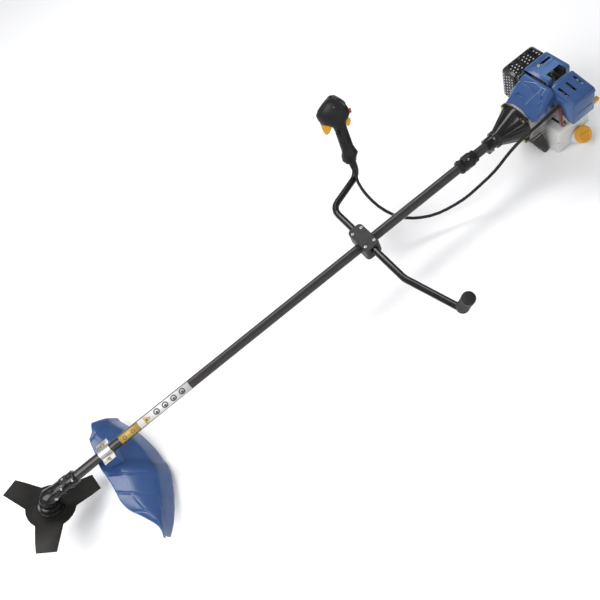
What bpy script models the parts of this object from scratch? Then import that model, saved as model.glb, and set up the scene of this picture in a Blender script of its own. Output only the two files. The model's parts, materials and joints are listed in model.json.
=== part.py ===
"""Brush cutter: a two-stroke engine, a straight shaft with a handlebar, and a three-tooth blade behind a guard.

Metres, +Z up. Pieces are placed from the machine point: the shaft's axis under the handle clamp, with +X
along the shaft towards the engine and +Y towards the operator's right. The file's own origin is on the
ground below the middle of the machine, where the MACHINE_POINT constant is measured from.
"""

import math

import bmesh
import bpy
from mathutils import Euler, Matrix, Vector

GAP = 0.0003
MACHINE_POINT = (0.22188, 0.04124, 0.1420)

# Shaft line
TUBE_RADIUS = 0.013
TUBE_BORE = 0.0113
TUBE_FRONT = -0.957
TUBE_REAR = 0.427
DRIVE_RADIUS = 0.004

# Cutting head: the spindle leans forward from the shaft's axis
HEAD_X = -1.032
HEAD_TILT = math.radians(30)
SPINDLE_RADIUS = 0.005
BLADE_DROP = 0.0416
BLADE_THICKNESS = 0.0015
BLADE_RADIUS = 0.1275
BLADE_HUB_RADIUS = 0.0625
TOOTH_ROOT_HALF = 0.034
TOOTH_TIP_HALF = 0.0245
FIRST_TOOTH_ANGLE = math.radians(5.8)
TEETH = 3

# Guard
GUARD_THICKNESS = 0.0026
GUARD_POINT = Vector((-0.870, 0, -0.0340))
GUARD_SLOPE = math.tan(math.radians(30))
GUARD_LIP = 0.042
GUARD_FLARE = 0.018
STRAP_X = -0.853
STRAP_LENGTH = 0.034

# Handlebar
BAR_RADIUS = 0.0095
BAR_WALL = 0.0015
BAR_HEIGHT = 0.024
BAR_X = -0.0075
CLAMP_Y = -0.006
LEFT_BEND = Vector((BAR_X, -0.168, BAR_HEIGHT))
RIGHT_BEND = Vector((BAR_X, 0.137, BAR_HEIGHT))
LEFT_ELBOW = Vector((0.034, -0.328, 0.027))
RIGHT_ELBOW = Vector((0.114, 0.191, 0.008))
LEFT_GRIP_WAY = Vector((-0.025, -0.369, 0.929)).normalized()
RIGHT_GRIP_WAY = Vector((0.2, 0.42, 0.88)).normalized()
LEFT_GRIP_LENGTH = 0.122
RIGHT_BAR_LENGTH = 0.166
CONTROL_REAR = Vector((0.82, -0.57, 0))

# Engine, along the crankshaft's axis
CLUTCH_FRONT = 0.404
FLANGE_X = 0.510
CASE_REAR = 0.560
CRANKCASE_REAR = 0.634
STARTER_REAR = 0.686
CYLINDER_X = 0.597
FAN_RADIUS = 0.043

# Throttle cable
CABLE_RADIUS = 0.0042
CABLE_ROUTE = (
    (0.1132, 0.1992, 0.0484),
    (0.1108, 0.1943, 0.0381),
    (0.1060, 0.1810, 0.0280),
    (0.0963, 0.1600, 0.0180),
    (0.0910, 0.1250, 0.0020),
    (0.0980, 0.0890, -0.0280),
    (0.1150, 0.0540, -0.0530),
    (0.1380, 0.0320, -0.0720),
    (0.1720, 0.0110, -0.0870),
    (0.2170, -0.0100, -0.0930),
    (0.2850, -0.0300, -0.0850),
    (0.3400, -0.0450, -0.0580),
    (0.3770, -0.0580, -0.0290),
    (0.4200, -0.0740, 0.0220),
    (0.4520, -0.0840, 0.0490),
    (0.4900, -0.0890, 0.0600),
    (0.5340, -0.0890, 0.0650),
    (0.5720, -0.0860, 0.0640),
)

# Fuel hoses, from beside the carburettor to the tank's top
HOSE_RADIUS = 0.0026
HOSE_ROUTE = (
    (0.5768, -0.0695, 0.0400),
    (0.5766, -0.0710, 0.0500),
    (0.5765, -0.0765, 0.0560),
    (0.5765, -0.0840, 0.0540),
    (0.5765, -0.0890, 0.0440),
    (0.5765, -0.0920, 0.0260),
    (0.5768, -0.0920, 0.0080),
    (0.5850, -0.0890, -0.0120),
    (0.5980, -0.0790, -0.0320),
    (0.6110, -0.0690, -0.0450),
    (0.6150, -0.0660, -0.0535),
)

AXES = {
    "X": (Vector((1, 0, 0)), Vector((0, 1, 0)), Vector((0, 0, 1))),
    "Y": (Vector((0, 1, 0)), Vector((0, 0, 1)), Vector((1, 0, 0))),
    "Z": (Vector((0, 0, 1)), Vector((1, 0, 0)), Vector((0, 1, 0))),
}

LOOKS = {
    # name: colour, roughness, metallic
    "blue_plastic": ((0.040, 0.120, 0.400), 0.28, 0.0),
    "black_plastic": ((0.020, 0.019, 0.019), 0.45, 0.0),
    "black_paint": ((0.020, 0.018, 0.018), 0.25, 0.0),
    "rubber": ((0.022, 0.021, 0.021), 0.75, 0.0),
    "orange_plastic": ((0.720, 0.300, 0.030), 0.40, 0.0),
    "red_plastic": ((0.250, 0.020, 0.015), 0.40, 0.0),
    "cast_aluminium": ((0.400, 0.390, 0.370), 0.50, 1.0),
    "steel": ((0.550, 0.550, 0.560), 0.30, 1.0),
    "zinc": ((0.620, 0.620, 0.620), 0.35, 1.0),
    "brass": ((0.600, 0.480, 0.280), 0.35, 1.0),
    "blade_steel": ((0.025, 0.024, 0.024), 0.40, 0.3),
    "tank_plastic": ((0.620, 0.620, 0.600), 0.40, 0.0),
    "hose_rubber": ((0.160, 0.030, 0.015), 0.45, 0.0),
    "foam": ((0.050, 0.050, 0.050), 0.95, 0.0),
}


def clear_scene():
    for obj in list(bpy.data.objects):
        bpy.data.objects.remove(obj, do_unlink=True)


def make_materials():
    for name, (colour, roughness, metallic) in LOOKS.items():
        look = bpy.data.materials.new(name)
        look.use_nodes = True
        shader = look.node_tree.nodes["Principled BSDF"]
        shader.inputs["Base Color"].default_value = (*colour, 1)
        shader.inputs["Roughness"].default_value = roughness
        shader.inputs["Metallic"].default_value = metallic


def empty(name, location, rotation=None, parent=None):
    helper = bpy.data.objects.new(name, None)
    bpy.context.scene.collection.objects.link(helper)
    helper.location = location
    helper.parent = parent
    if rotation is not None:
        helper.rotation_euler = rotation.to_euler()
    return helper


def add_object(name, bm, look, parent, sharp=35):
    bmesh.ops.recalc_face_normals(bm, faces=bm.faces)
    mesh = bpy.data.meshes.new(name)
    bm.to_mesh(mesh)
    bm.free()
    mesh.shade_smooth()
    mesh.set_sharp_from_angle(angle=math.radians(sharp))
    mesh.materials.append(bpy.data.materials[look])
    obj = bpy.data.objects.new(name, mesh)
    bpy.context.scene.collection.objects.link(obj)
    obj.parent = parent
    return obj


def circle_points(bm, centre, across, up, radius, segments, turn=0.0):
    angles = [turn + 2 * math.pi * index / segments for index in range(segments)]
    return [bm.verts.new(centre + radius * (math.cos(a) * across + math.sin(a) * up)) for a in angles]


def bridge(bm, first, second):
    count = max(len(first), len(second))
    for index in range(count):
        after = (index + 1) % count
        if len(first) == 1:
            bm.faces.new((first[0], second[after], second[index]))
        elif len(second) == 1:
            bm.faces.new((first[index], first[after], second[0]))
        else:
            bm.faces.new((first[index], first[after], second[after], second[index]))


def turned(name, profile, look, parent, axis="X", centre=(0, 0, 0), segments=28, turn=0.0):
    """A turned piece from (distance along the axis, radius) points. One whose profile stays off the
    axis is a ring, closed from its last point back to its first."""
    along, across, up = AXES[axis]
    bm = bmesh.new()
    rings = []
    for distance, radius in profile:
        middle = Vector(centre) + along * distance
        if radius == 0:
            rings.append([bm.verts.new(middle)])
        else:
            rings.append(circle_points(bm, middle, across, up, radius, segments, turn))
    pairs = list(zip(rings, rings[1:]))
    if profile[0][1] > 0:
        pairs.append((rings[-1], rings[0]))
    for first, second in pairs:
        if len(first) > 1 or len(second) > 1:
            bridge(bm, first, second)
    return add_object(name, bm, look, parent)


def rod(name, start, end, radius, look, parent, axis="X", centre=(0, 0, 0), segments=20, turn=0.0):
    profile = ((start, 0), (start, radius), (end, radius), (end, 0))
    return turned(name, profile, look, parent, axis, centre, segments, turn)


def swept(name, path, radius, look, parent, segments=14, bore=0.0):
    """A round bar along a path, or a tube where a bore is given."""
    bm = bmesh.new()
    across = (path[1] - path[0]).normalized().orthogonal().normalized()
    outer, inner = [], []
    for index, point in enumerate(path):
        before = path[max(index - 1, 0)]
        after = path[min(index + 1, len(path) - 1)]
        along = (after - before).normalized()
        across = (across - along * across.dot(along)).normalized()
        up = along.cross(across)
        outer.append(circle_points(bm, point, across, up, radius, segments))
        if bore:
            inner.append(circle_points(bm, point, across, up, bore, segments))
    for first, second in zip(outer, outer[1:]):
        bridge(bm, first, second)
    if bore:
        for first, second in zip(inner, inner[1:]):
            bridge(bm, second, first)
        bridge(bm, inner[0], outer[0])
        bridge(bm, outer[-1], inner[-1])
    else:
        bm.faces.new(outer[0][::-1])
        bm.faces.new(outer[-1])
    return add_object(name, bm, look, parent)


def extruded(name, outline, start, end, look, parent, axis="Z", bevel=0.0):
    """A flat outline pushed along an axis. The outline's points lie in the other two axes, in X, Y, Z order."""
    along = "XYZ".index(axis)
    flat = [index for index in range(3) if index != along]
    bm = bmesh.new()
    layers = []
    for distance in (start, end):
        layer = []
        for point in outline:
            place = [0.0, 0.0, 0.0]
            place[along] = distance
            place[flat[0]], place[flat[1]] = point
            layer.append(bm.verts.new(place))
        layers.append(layer)
    bridge(bm, layers[0], layers[1])
    bm.faces.new(layers[0][::-1])
    bm.faces.new(layers[1])
    obj = add_object(name, bm, look, parent)
    if bevel:
        add_bevel(obj, bevel)
    return obj


def block(name, low, high, look, parent, bevel=0.0):
    outline = ((low[0], low[1]), (high[0], low[1]), (high[0], high[1]), (low[0], high[1]))
    return extruded(name, outline, low[2], high[2], look, parent, "Z", bevel)


def lofted(name, sections, look, parent):
    bm = bmesh.new()
    rings = [[bm.verts.new(point) for point in section] for section in sections]
    for first, second in zip(rings, rings[1:]):
        bridge(bm, first, second)
    bm.faces.new(rings[0][::-1])
    bm.faces.new(rings[-1])
    return add_object(name, bm, look, parent)


def add_bevel(obj, width, segments=2):
    bevel = obj.modifiers.new("edge rounding", "BEVEL")
    bevel.width = width
    bevel.segments = segments
    bevel.limit_method = "ANGLE"
    bevel.angle_limit = math.radians(40)


def combine(obj, operation, *tools):
    """Joins or cuts an object with helper shapes, which stay in the file as hidden wires."""
    for tool in tools:
        tool.hide_render = True
        tool.display_type = "WIRE"
        modifier = obj.modifiers.new(operation.lower() + " " + tool.name, "BOOLEAN")
        modifier.operation = operation
        modifier.solver = "EXACT"
        modifier.object = tool
    return obj


def join(obj, *tools):
    return combine(obj, "UNION", *tools)


def cut(obj, *tools):
    return combine(obj, "DIFFERENCE", *tools)


def set_pivot(obj, pivot):
    """Moves an object's origin onto its joint's axis and leaves its shape where it was."""
    obj.data.transform(Matrix.Translation(-Vector(pivot)))
    obj.location = pivot
    return obj


def rounded_path(points, radii, steps=4):
    path = [points[0]]
    for before, corner, after, radius in zip(points, points[1:], points[2:], radii):
        back = (before - corner).normalized()
        onward = (after - corner).normalized()
        half = back.angle(onward) / 2
        reach = radius / math.tan(half)
        centre = corner + (back + onward).normalized() * radius / math.sin(half)
        first = corner + back * reach - centre
        last = corner + onward * reach - centre
        turn = first.angle(last)
        for step in range(steps + 1):
            share = step / steps
            arm = (first * math.sin((1 - share) * turn) + last * math.sin(share * turn)) / math.sin(turn)
            path.append(centre + arm)
    path.append(points[-1])
    return path


def smooth_path(points, spacing):
    """A smooth curve through the points, sampled about every spacing."""
    points = [Vector(point) for point in points]
    padded = [points[0] * 2 - points[1], *points, points[-1] * 2 - points[-2]]
    path = []
    for p0, p1, p2, p3 in zip(padded, padded[1:], padded[2:], padded[3:]):
        steps = max(1, round((p2 - p1).length / spacing))
        for step in range(steps):
            t = step / steps
            path.append(
                0.5 * (2 * p1 + (p2 - p0) * t + (2 * p0 - 5 * p1 + 4 * p2 - p3) * t * t
                       + (3 * p1 - p0 - 3 * p2 + p3) * t ** 3)
            )
    path.append(points[-1])
    return path


def curve_tube(name, path, radius, look, parent, resolution=2):
    curve = bpy.data.curves.new(name, "CURVE")
    curve.dimensions = "3D"
    curve.bevel_depth = radius
    curve.bevel_resolution = resolution
    curve.use_fill_caps = True
    spline = curve.splines.new("POLY")
    spline.points.add(len(path) - 1)
    for point, place in zip(spline.points, path):
        point.co = (*place, 1)
    curve.materials.append(bpy.data.materials[look])
    obj = bpy.data.objects.new(name, curve)
    bpy.context.scene.collection.objects.link(obj)
    obj.parent = parent
    return obj


def build_shaft(machine):
    tube = ((TUBE_FRONT, TUBE_BORE), (TUBE_FRONT, TUBE_RADIUS), (TUBE_REAR, TUBE_RADIUS),
            (TUBE_REAR, TUBE_BORE))
    turned("shaft_tube", tube, "black_paint", machine)
    rod("drive_shaft", HEAD_X + 0.0055, 0.486, DRIVE_RADIUS, "steel", machine, segments=12)


def build_gear_case(machine, head):
    body = ((-0.0250, 0), (-0.0235, 0.0120), (-0.0140, 0.0210), (0.0, 0.0240), (0.0160, 0.0215),
            (0.0300, 0.0185),
            (0.0560, 0.0178), (0.0600, 0.0195), (0.0820, 0.0195), (0.0840, 0.0180), (0.0840, 0))
    case = turned("gear_case", body, "black_paint", machine, centre=(HEAD_X, 0, 0))
    skirt = ((-0.0300, 0), (-0.0300, 0.0265), (-0.0255, 0.0265), (-0.0235, 0.0225), (0.0080, 0.0205),
             (0.0160, 0.0140), (0.0160, 0))
    lug = block("case clamp lug", (-0.982, -0.007, 0.012), (-0.962, 0.007, 0.0265), "black_paint", machine)
    join(case, turned("case skirt", skirt, "black_paint", head, axis="Z"), lug)
    socket = rod("tube socket", -0.9800, -0.9300, TUBE_RADIUS + GAP, "steel", machine, segments=28)
    pinion_room = rod("pinion room", HEAD_X + 0.002, -0.9750, 0.0108, "steel", machine)
    gear_room = rod("gear room", -0.0130, 0.0030, 0.0137, "steel", head, axis="Z")
    bearing_room = rod("bearing room", -0.0400, -0.0125, 0.0131, "steel", head, axis="Z")
    cut(case, socket, pinion_room, gear_room, bearing_room)


def build_gears(machine, head):
    pinion = ((0.0058, 0.0043), (0.0058, 0.0052), (0.0092, 0.0087), (0.0125, 0.0087), (0.0130, 0.0070),
              (0.0230, 0.0070), (0.0230, 0.0043))
    turned("bevel_pinion", pinion, "steel", machine, centre=(HEAD_X, 0, 0), segments=14)
    wheel = ((-0.0022, 0.0053), (-0.0024, 0.0062), (-0.0041, 0.0125), (-0.0075, 0.0128), (-0.0080, 0.0090),
             (-0.0115, 0.0090), (-0.0115, 0.0053))
    turned("bevel_gear", wheel, "steel", head, axis="Z", segments=19)
    rod("output_spindle", -0.0620, -0.0020, SPINDLE_RADIUS, "steel", head, axis="Z", segments=16)
    race = ((-0.0140, 0.0053), (-0.0140, 0.0128), (-0.0230, 0.0128), (-0.0230, 0.0053))
    turned("spindle_bearing", race, "steel", head, axis="Z", segments=20)


def blade_outline():
    points = []
    half_root = math.asin(TOOTH_ROOT_HALF / BLADE_HUB_RADIUS)
    half_tip = math.asin(TOOTH_TIP_HALF / BLADE_RADIUS)
    for tooth in range(TEETH):
        middle = FIRST_TOOTH_ANGLE + tooth * 2 * math.pi / TEETH
        for radius, angle in (
            (BLADE_HUB_RADIUS, -half_root),
            (BLADE_RADIUS * 0.80, -half_tip * 1.50),
            (BLADE_RADIUS, -half_tip),
            (BLADE_RADIUS, half_tip),
            (BLADE_HUB_RADIUS, half_root),
        ):
            points.append((radius * math.cos(middle + angle), radius * math.sin(middle + angle)))
        spread = 2 * math.pi / TEETH - 2 * half_root
        for step in (1, 2, 3):
            angle = middle + half_root + spread * step / 4
            points.append((BLADE_HUB_RADIUS * math.cos(angle), BLADE_HUB_RADIUS * math.sin(angle)))
    return points


def build_blade(head):
    adapter = ((-0.0305, 0.0053), (-0.0305, 0.0200), (-0.0330, 0.0205), (-0.0355, 0.0320),
               (-0.0404, 0.0330),
               (-0.0404, 0.0120), (-0.0425, 0.0120), (-0.0425, 0.0053))
    turned("blade_adapter", adapter, "black_paint", head, axis="Z")
    top = -BLADE_DROP + BLADE_THICKNESS / 2
    blade = extruded("blade", blade_outline(), top - BLADE_THICKNESS, top, "blade_steel", head)
    cut(blade, rod("blade bore", -0.06, -0.02, 0.0125, "steel", head, axis="Z", segments=24))
    cup = ((-0.0429, 0.0053), (-0.0429, 0.0270), (-0.0445, 0.0270), (-0.0475, 0.0180), (-0.0490, 0.0180),
           (-0.0490, 0.0053))
    turned("outer_flange", cup, "steel", head, axis="Z", segments=28)
    nut = ((-0.0494, 0.0062), (-0.0494, 0.0100), (-0.0585, 0.0100), (-0.0585, 0.0062))
    turned("blade_nut", nut, "zinc", head, axis="Z", segments=6)


def guard_height(x):
    return GUARD_POINT.z - (x - GUARD_POINT.x) * GUARD_SLOPE


def build_guard(machine):
    """A wide shell that reaches further to the operator's left, with a lip along its rear edge."""
    stations = (
        # front edge x, y, then the lip's lower edge x, y
        (-0.8720, 0.0910, -0.8625, 0.1480),
        (-0.8850, 0.0800, -0.8215, 0.1380),
        (-0.8870, 0.0640, -0.8155, 0.1190),
        (-0.8880, 0.0420, -0.7945, 0.0700),
        (-0.8920, -0.0100, -0.7775, -0.0040),
        (-0.8890, -0.0450, -0.7740, -0.0480),
        (-0.8870, -0.0660, -0.7715, -0.0640),
        (-0.8865, -0.1000, -0.7755, -0.0930),
        (-0.8860, -0.1270, -0.7825, -0.1190),
        (-0.8790, -0.1560, -0.7885, -0.1410),
        (-0.8630, -0.1840, -0.7985, -0.1680),
        (-0.8450, -0.2200, -0.8085, -0.1920),
        (-0.8400, -0.2400, -0.8250, -0.2250),
        (-0.8410, -0.2650, -0.8430, -0.2510),
    )
    bm = bmesh.new()
    rows = []
    for front_x, front_y, lip_x, lip_y in stations:
        reach = Vector((lip_x - front_x, lip_y - front_y))
        flare = min(GUARD_FLARE, reach.length / 2)
        rear_x, rear_y = Vector((lip_x, lip_y)) - reach.normalized() * flare
        row = []
        for share, crown in ((0, 0), (0.30, 0.004), (0.62, 0.003), (0.88, 0.001), (1, -0.002)):
            x = front_x + (rear_x - front_x) * share
            y = front_y + (rear_y - front_y) * share
            row.append(bm.verts.new((x, y, guard_height(x) + crown - 0.004 * share)))
        row.append(bm.verts.new((lip_x, lip_y, guard_height(lip_x) - GUARD_LIP)))
        rows.append(row)
    for first, second in zip(rows, rows[1:]):
        for index in range(len(first) - 1):
            bm.faces.new((first[index], first[index + 1], second[index + 1], second[index]))
    guard = add_object("guard_shell", bm, "blue_plastic", machine, sharp=45)
    solidify = guard.modifiers.new("wall", "SOLIDIFY")
    solidify.thickness = GUARD_THICKNESS
    solidify.offset = 0
    return guard


def build_guard_mount(machine):
    front = STRAP_X - STRAP_LENGTH / 2
    rear = STRAP_X + STRAP_LENGTH / 2
    clearance = GUARD_THICKNESS / 2 + 0.0066
    saddle = ((front, -GAP), (rear, -GAP), (rear, guard_height(rear) + clearance),
              (front, guard_height(front) + clearance))
    saddle_block = extruded("guard_saddle", saddle, -0.0290, 0.0290, "blue_plastic", machine, axis="Y")
    cut(saddle_block, rod("saddle trough", front - 0.01, rear + 0.01, TUBE_RADIUS + GAP, "steel", machine,
                          segments=28))
    inner, outer = TUBE_RADIUS + 0.0005, TUBE_RADIUS + 0.0021
    ear_top = outer - inner
    root = math.asin(ear_top / outer)
    turns = [root + (math.pi - 2 * root) * k / 12 for k in range(13)]
    arch = [(outer * math.cos(a), outer * math.sin(a)) for a in turns]
    under = [(inner * math.cos(a),
              inner * math.sin(a)) for a in [math.pi * (12 - k) / 12 for k in range(13)]]
    left_ear = [(-0.0310, ear_top), (-0.0310, 0)]
    right_ear = [(0.0310, 0), (0.0310, ear_top)]
    extruded("guard_strap", arch + left_ear + under + right_ear, front, rear, "zinc", machine, axis="X")


def rounded_rectangle(half_x, half_y, radius, steps=4):
    points = []
    for quarter, (sx, sy) in enumerate(((1, 1), (-1, 1), (-1, -1), (1, -1))):
        for step in range(steps + 1):
            angle = math.pi / 2 * (quarter + step / steps)
            points.append((sx * (half_x - radius) + radius * math.cos(angle),
                           sy * (half_y - radius) + radius * math.sin(angle)))
    return points


def build_handle_clamp(machine):
    def plan(half_x, half_y):
        return [(x + BAR_X, y + CLAMP_Y) for x, y in rounded_rectangle(half_x, half_y, 0.0110)]

    tube_groove = rod("tube groove", -0.06, 0.05, TUBE_RADIUS + GAP, "steel", machine, segments=28)
    bar_groove = rod("bar groove", -0.06, 0.06, BAR_RADIUS + GAP, "steel", machine, axis="Y",
                     centre=(BAR_X, 0, BAR_HEIGHT))
    lower = extruded("handle_clamp_lower", plan(0.0205, 0.0260), -0.0260, -GAP, "black_plastic", machine)
    cut(lower, tube_groove)
    middle = extruded("handle_clamp_middle", plan(0.0220, 0.0435), GAP, BAR_HEIGHT - GAP, "black_plastic",
                      machine)
    cut(middle, tube_groove, bar_groove)
    cap = extruded("handle_clamp_cap", plan(0.0220, 0.0435), BAR_HEIGHT + GAP, BAR_HEIGHT + 0.0130,
                   "black_plastic",
                   machine)
    cut(cap, bar_groove)


def build_handlebar(machine):
    left_end = LEFT_ELBOW + LEFT_GRIP_WAY * LEFT_GRIP_LENGTH
    right_end = RIGHT_ELBOW + RIGHT_GRIP_WAY * RIGHT_BAR_LENGTH
    corners = [left_end, LEFT_ELBOW, LEFT_BEND, RIGHT_BEND, RIGHT_ELBOW, right_end]
    path = rounded_path(corners, (0.016, 0.060, 0.042, 0.030))
    swept("handlebar", path, BAR_RADIUS, "black_paint", machine, bore=BAR_RADIUS - BAR_WALL, segments=12)


def aligned(along, across):
    """The rotation that turns +Z to along and +X as near across as it can."""
    rear = (across - along * across.dot(along)).normalized()
    return Matrix((rear, along.cross(rear), along)).transposed()


def build_left_grip(machine):
    frame = empty("left_grip_frame", LEFT_ELBOW, aligned(LEFT_GRIP_WAY, Vector((1, 0, 0))), machine)
    end = LEFT_GRIP_LENGTH + GAP
    profile = ((0.0150, BAR_RADIUS + GAP), (0.0150, 0.0140), (0.0180, 0.0160), (0.0300, 0.0165),
               (0.0700, 0.0156),
               (0.1120, 0.0165), (0.1240, 0.0150), (0.1290, 0.0100), (0.1300, 0), (end, 0),
               (end, BAR_RADIUS + GAP))
    turned("left_grip", profile, "rubber", frame, axis="Z", segments=20)


def ellipse(middle_x, half_x, half_y, height, count=20):
    angles = [2 * math.pi * index / count for index in range(count)]
    return [Vector((middle_x + half_x * math.cos(a), half_y * math.sin(a), height)) for a in angles]


def build_control(machine):
    """The right hand's control handle: two housing halves around the bar's end, and what the fingers move."""
    frame = empty("control_frame", RIGHT_ELBOW, aligned(RIGHT_GRIP_WAY, CONTROL_REAR), machine)
    sections = [ellipse(*values) for values in (
        # middle x, half depth, half width, height along the grip
        (-0.0040, 0.0150, 0.0165, 0.0400),
        (-0.0055, 0.0205, 0.0178, 0.0500),
        (-0.0010, 0.0240, 0.0180, 0.0620),
        (-0.0005, 0.0195, 0.0165, 0.0730),
        (-0.0011, 0.0172, 0.0152, 0.0850),
        (-0.0015, 0.0172, 0.0155, 0.1320),
        (-0.0018, 0.0188, 0.0175, 0.1470),
        (-0.0043, 0.0258, 0.0195, 0.1550),
        (-0.0072, 0.0390, 0.0210, 0.1630),
        (-0.0070, 0.0450, 0.0222, 0.1770),
        (-0.0095, 0.0435, 0.0225, 0.1900),
        (-0.0075, 0.0365, 0.0210, 0.2020),
        (-0.0030, 0.0255, 0.0175, 0.2140),
        (-0.0025, 0.0120, 0.0100, 0.2230),
    )]
    bar_room = rod("bar room", 0.030, RIGHT_BAR_LENGTH + GAP, BAR_RADIUS + GAP, "steel", frame, axis="Z")
    trigger_room = block("trigger room", (-0.062, -0.0068, 0.1300), (-0.0165, 0.0068, 0.1650), "steel",
                         frame)
    join(trigger_room, block("pivot room", (-0.0500, -0.0068, 0.1600), (-0.0165, 0.0068, 0.1760), "steel",
                             frame))
    lever_room = block("lever room", (0.0112, -0.0048, 0.134), (0.0400, 0.0048, 0.1665), "steel", frame)
    switch_room = block("switch room", (0.0285, -0.0058, 0.1690), (0.0480, 0.0058, 0.1885), "steel", frame)
    for name, side in (("control_housing_inner", -1), ("control_housing_outer", 1)):
        half = lofted(name, sections, "black_plastic", frame)
        near, far = sorted((-side * 0.04, side * GAP / 2))
        other = block(name + " other side", (-0.08, near, 0.02), (0.05, far, 0.24), "steel", frame)
        button_room = rod(name + " button room", -0.030, -0.0105, 0.0052, "steel", frame, axis="Y",
                          centre=(-0.0090, 0, 0.1330), segments=12)
        cut(half, other, bar_room, trigger_room, lever_room, switch_room, button_room)
    trigger = ((-0.0480, 0.1720), (-0.0480, 0.1470), (-0.0450, 0.1350), (-0.0400, 0.1320),
               (-0.0330, 0.1360),
               (-0.0250, 0.1440), (-0.0225, 0.1520), (-0.0250, 0.1720))
    set_pivot(extruded("throttle_trigger", trigger, -0.0060, 0.0060, "orange_plastic", frame, axis="Y"),
              (-0.0375, 0, 0.1680))
    lever = ((0.0195, 0.1640), (0.0310, 0.1560), (0.0315, 0.1490), (0.0255, 0.1395), (0.0200, 0.1370),
             (0.0175, 0.1440), (0.0160, 0.1640))
    set_pivot(extruded("lockout_lever", lever, -0.0040, 0.0040, "orange_plastic", frame, axis="Y"),
              (0.0165, 0, 0.1610))
    set_pivot(block("stop_switch", (0.0310, -0.0050, 0.1705), (0.0405, 0.0050, 0.1815), "red_plastic",
                    frame),
              (0.0360, 0, 0.1760))
    button = rod("throttle_lock_button", -0.0225, -0.0140, 0.0045, "black_plastic", frame, axis="Y",
                 centre=(-0.0090, 0, 0.1330), segments=12)
    set_pivot(button, (-0.0090, -0.0180, 0.1330))


def build_cable(machine):
    path = smooth_path(CABLE_ROUTE, 5 * CABLE_RADIUS)
    curve_tube("throttle_cable", path, CABLE_RADIUS, "rubber", machine)


def build_hanger(machine):
    start, end = 0.3100, 0.3650
    inner = TUBE_RADIUS + GAP
    ribs = ((start, inner), (start, 0.0185), (start + 0.006, 0.0200), (start + 0.012, 0.0175),
            (end - 0.024, 0.0175),
            (end - 0.020, 0.0200), (end - 0.014, 0.0200), (end - 0.010, 0.0175), (end, 0.0175),
            (end, inner))
    collar = turned("hanger_collar", ribs, "black_plastic", machine, segments=28)
    lug = block("hanger lug", (0.3240, -0.0080, 0.0140), (0.3440, 0.0080, 0.0230), "steel", machine)
    foot = block("hanger foot", (0.3300, -0.0045, -0.0290), (0.3520, 0.0045, -0.0140), "steel", machine)
    room = rod("collar bore", start - 0.01, end + 0.01, inner, "steel", machine, segments=28)
    join(collar, lug, foot)
    cut(collar, room)


def build_clutch(machine):
    housing = (
        (CLUTCH_FRONT, TUBE_RADIUS + GAP), (CLUTCH_FRONT, 0.0185), (0.4240, 0.0185), (0.4280, 0.0215),
        (0.4420, 0.0225), (0.4700, 0.0350), (0.4970, 0.0480), (0.5020, 0.0510), (FLANGE_X, 0.0510),
        (FLANGE_X, 0.0355), (0.4810, 0.0355), (0.4690, 0.0210), (0.4550, 0.0095), (0.4460, 0.0095),
        (0.4460, 0.0150), (0.4290, 0.0150),
        (0.4290, TUBE_RADIUS + GAP),
    )
    case = turned("clutch_housing", housing, "black_paint", machine)
    lug = block("housing clamp lug", (0.4060, -0.0075, -0.0290), (0.4240, 0.0075, -0.0165), "steel",
                machine)
    join(case, lug)
    for y in (-0.0370, 0.0370):
        for z in (-0.0370, 0.0370):
            join(case, rod(f"housing ear {y} {z}", 0.5000, FLANGE_X, 0.0080, "steel", machine,
                           centre=(0, y, z),
                           segments=16))
    race = ((0.4310, 0.0054), (0.4310, 0.0147), (0.4440, 0.0147), (0.4440, 0.0054))
    turned("drum_bearing", race, "steel", machine, segments=20)
    drum = ((0.4300, 0.0043), (0.4300, 0.0050), (0.4830, 0.0050), (0.4840, 0.0325), (0.5075, 0.0325),
            (0.5075, 0.0302), (0.4870, 0.0302), (0.4870, 0.0043))
    turned("clutch_drum", drum, "steel", machine)
    for number, middle in enumerate((0.5, 1.5), 1):
        arc = [middle * math.pi + math.radians(step) for step in range(-78, 79, 13)]
        outline = [(0.0292 * math.cos(a), 0.0292 * math.sin(a)) for a in arc]
        outline += [(0.0130 * math.cos(a), 0.0130 * math.sin(a)) for a in arc[::-2]]
        extruded(f"clutch_shoe_{number}", outline, 0.4890, 0.5060, "cast_aluminium", machine, axis="X")


def build_flywheel(machine):
    disc = ((0.4900, 0.0063), (0.4900, 0.0100), (0.5135, 0.0110), (0.5280, 0.0200), (0.5360, 0.0250),
            (0.5360, FAN_RADIUS), (0.5430, FAN_RADIUS), (0.5430, 0.0063))
    wheel = turned("flywheel_fan", disc, "cast_aluminium", machine)
    points = []
    vanes = 12
    vane_tip = FAN_RADIUS - 0.001
    for vane in range(vanes):
        start = 2 * math.pi * vane / vanes
        for radius, angle in ((0.0230, -0.19), (0.0230, -0.05), (vane_tip, -0.035), (vane_tip, 0.035),
                              (0.0230, 0.05)):
            points.append((radius * math.cos(start + angle), radius * math.sin(start + angle)))
    fan = extruded("fan vanes", points, 0.5180, 0.5390, "steel", machine, axis="X")
    bore = rod("fan bore", 0.48, 0.56, 0.0063, "steel", machine, segments=32)
    join(wheel, fan)
    cut(wheel, bore)


def build_fan_case(machine):
    outline = rounded_rectangle(0.0530, 0.0530, 0.0380, steps=5)
    case = extruded("fan_case", outline, FLANGE_X + GAP, CASE_REAR - GAP, "cast_aluminium", machine,
                    axis="X")
    chamber = rod("fan chamber", 0.50, 0.5480, 0.0470, "steel", machine, segments=32)
    shaft_room = rod("fan case bore", 0.54, 0.57, 0.0125, "steel", machine, segments=20)
    cut(case, chamber, shaft_room)


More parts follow.
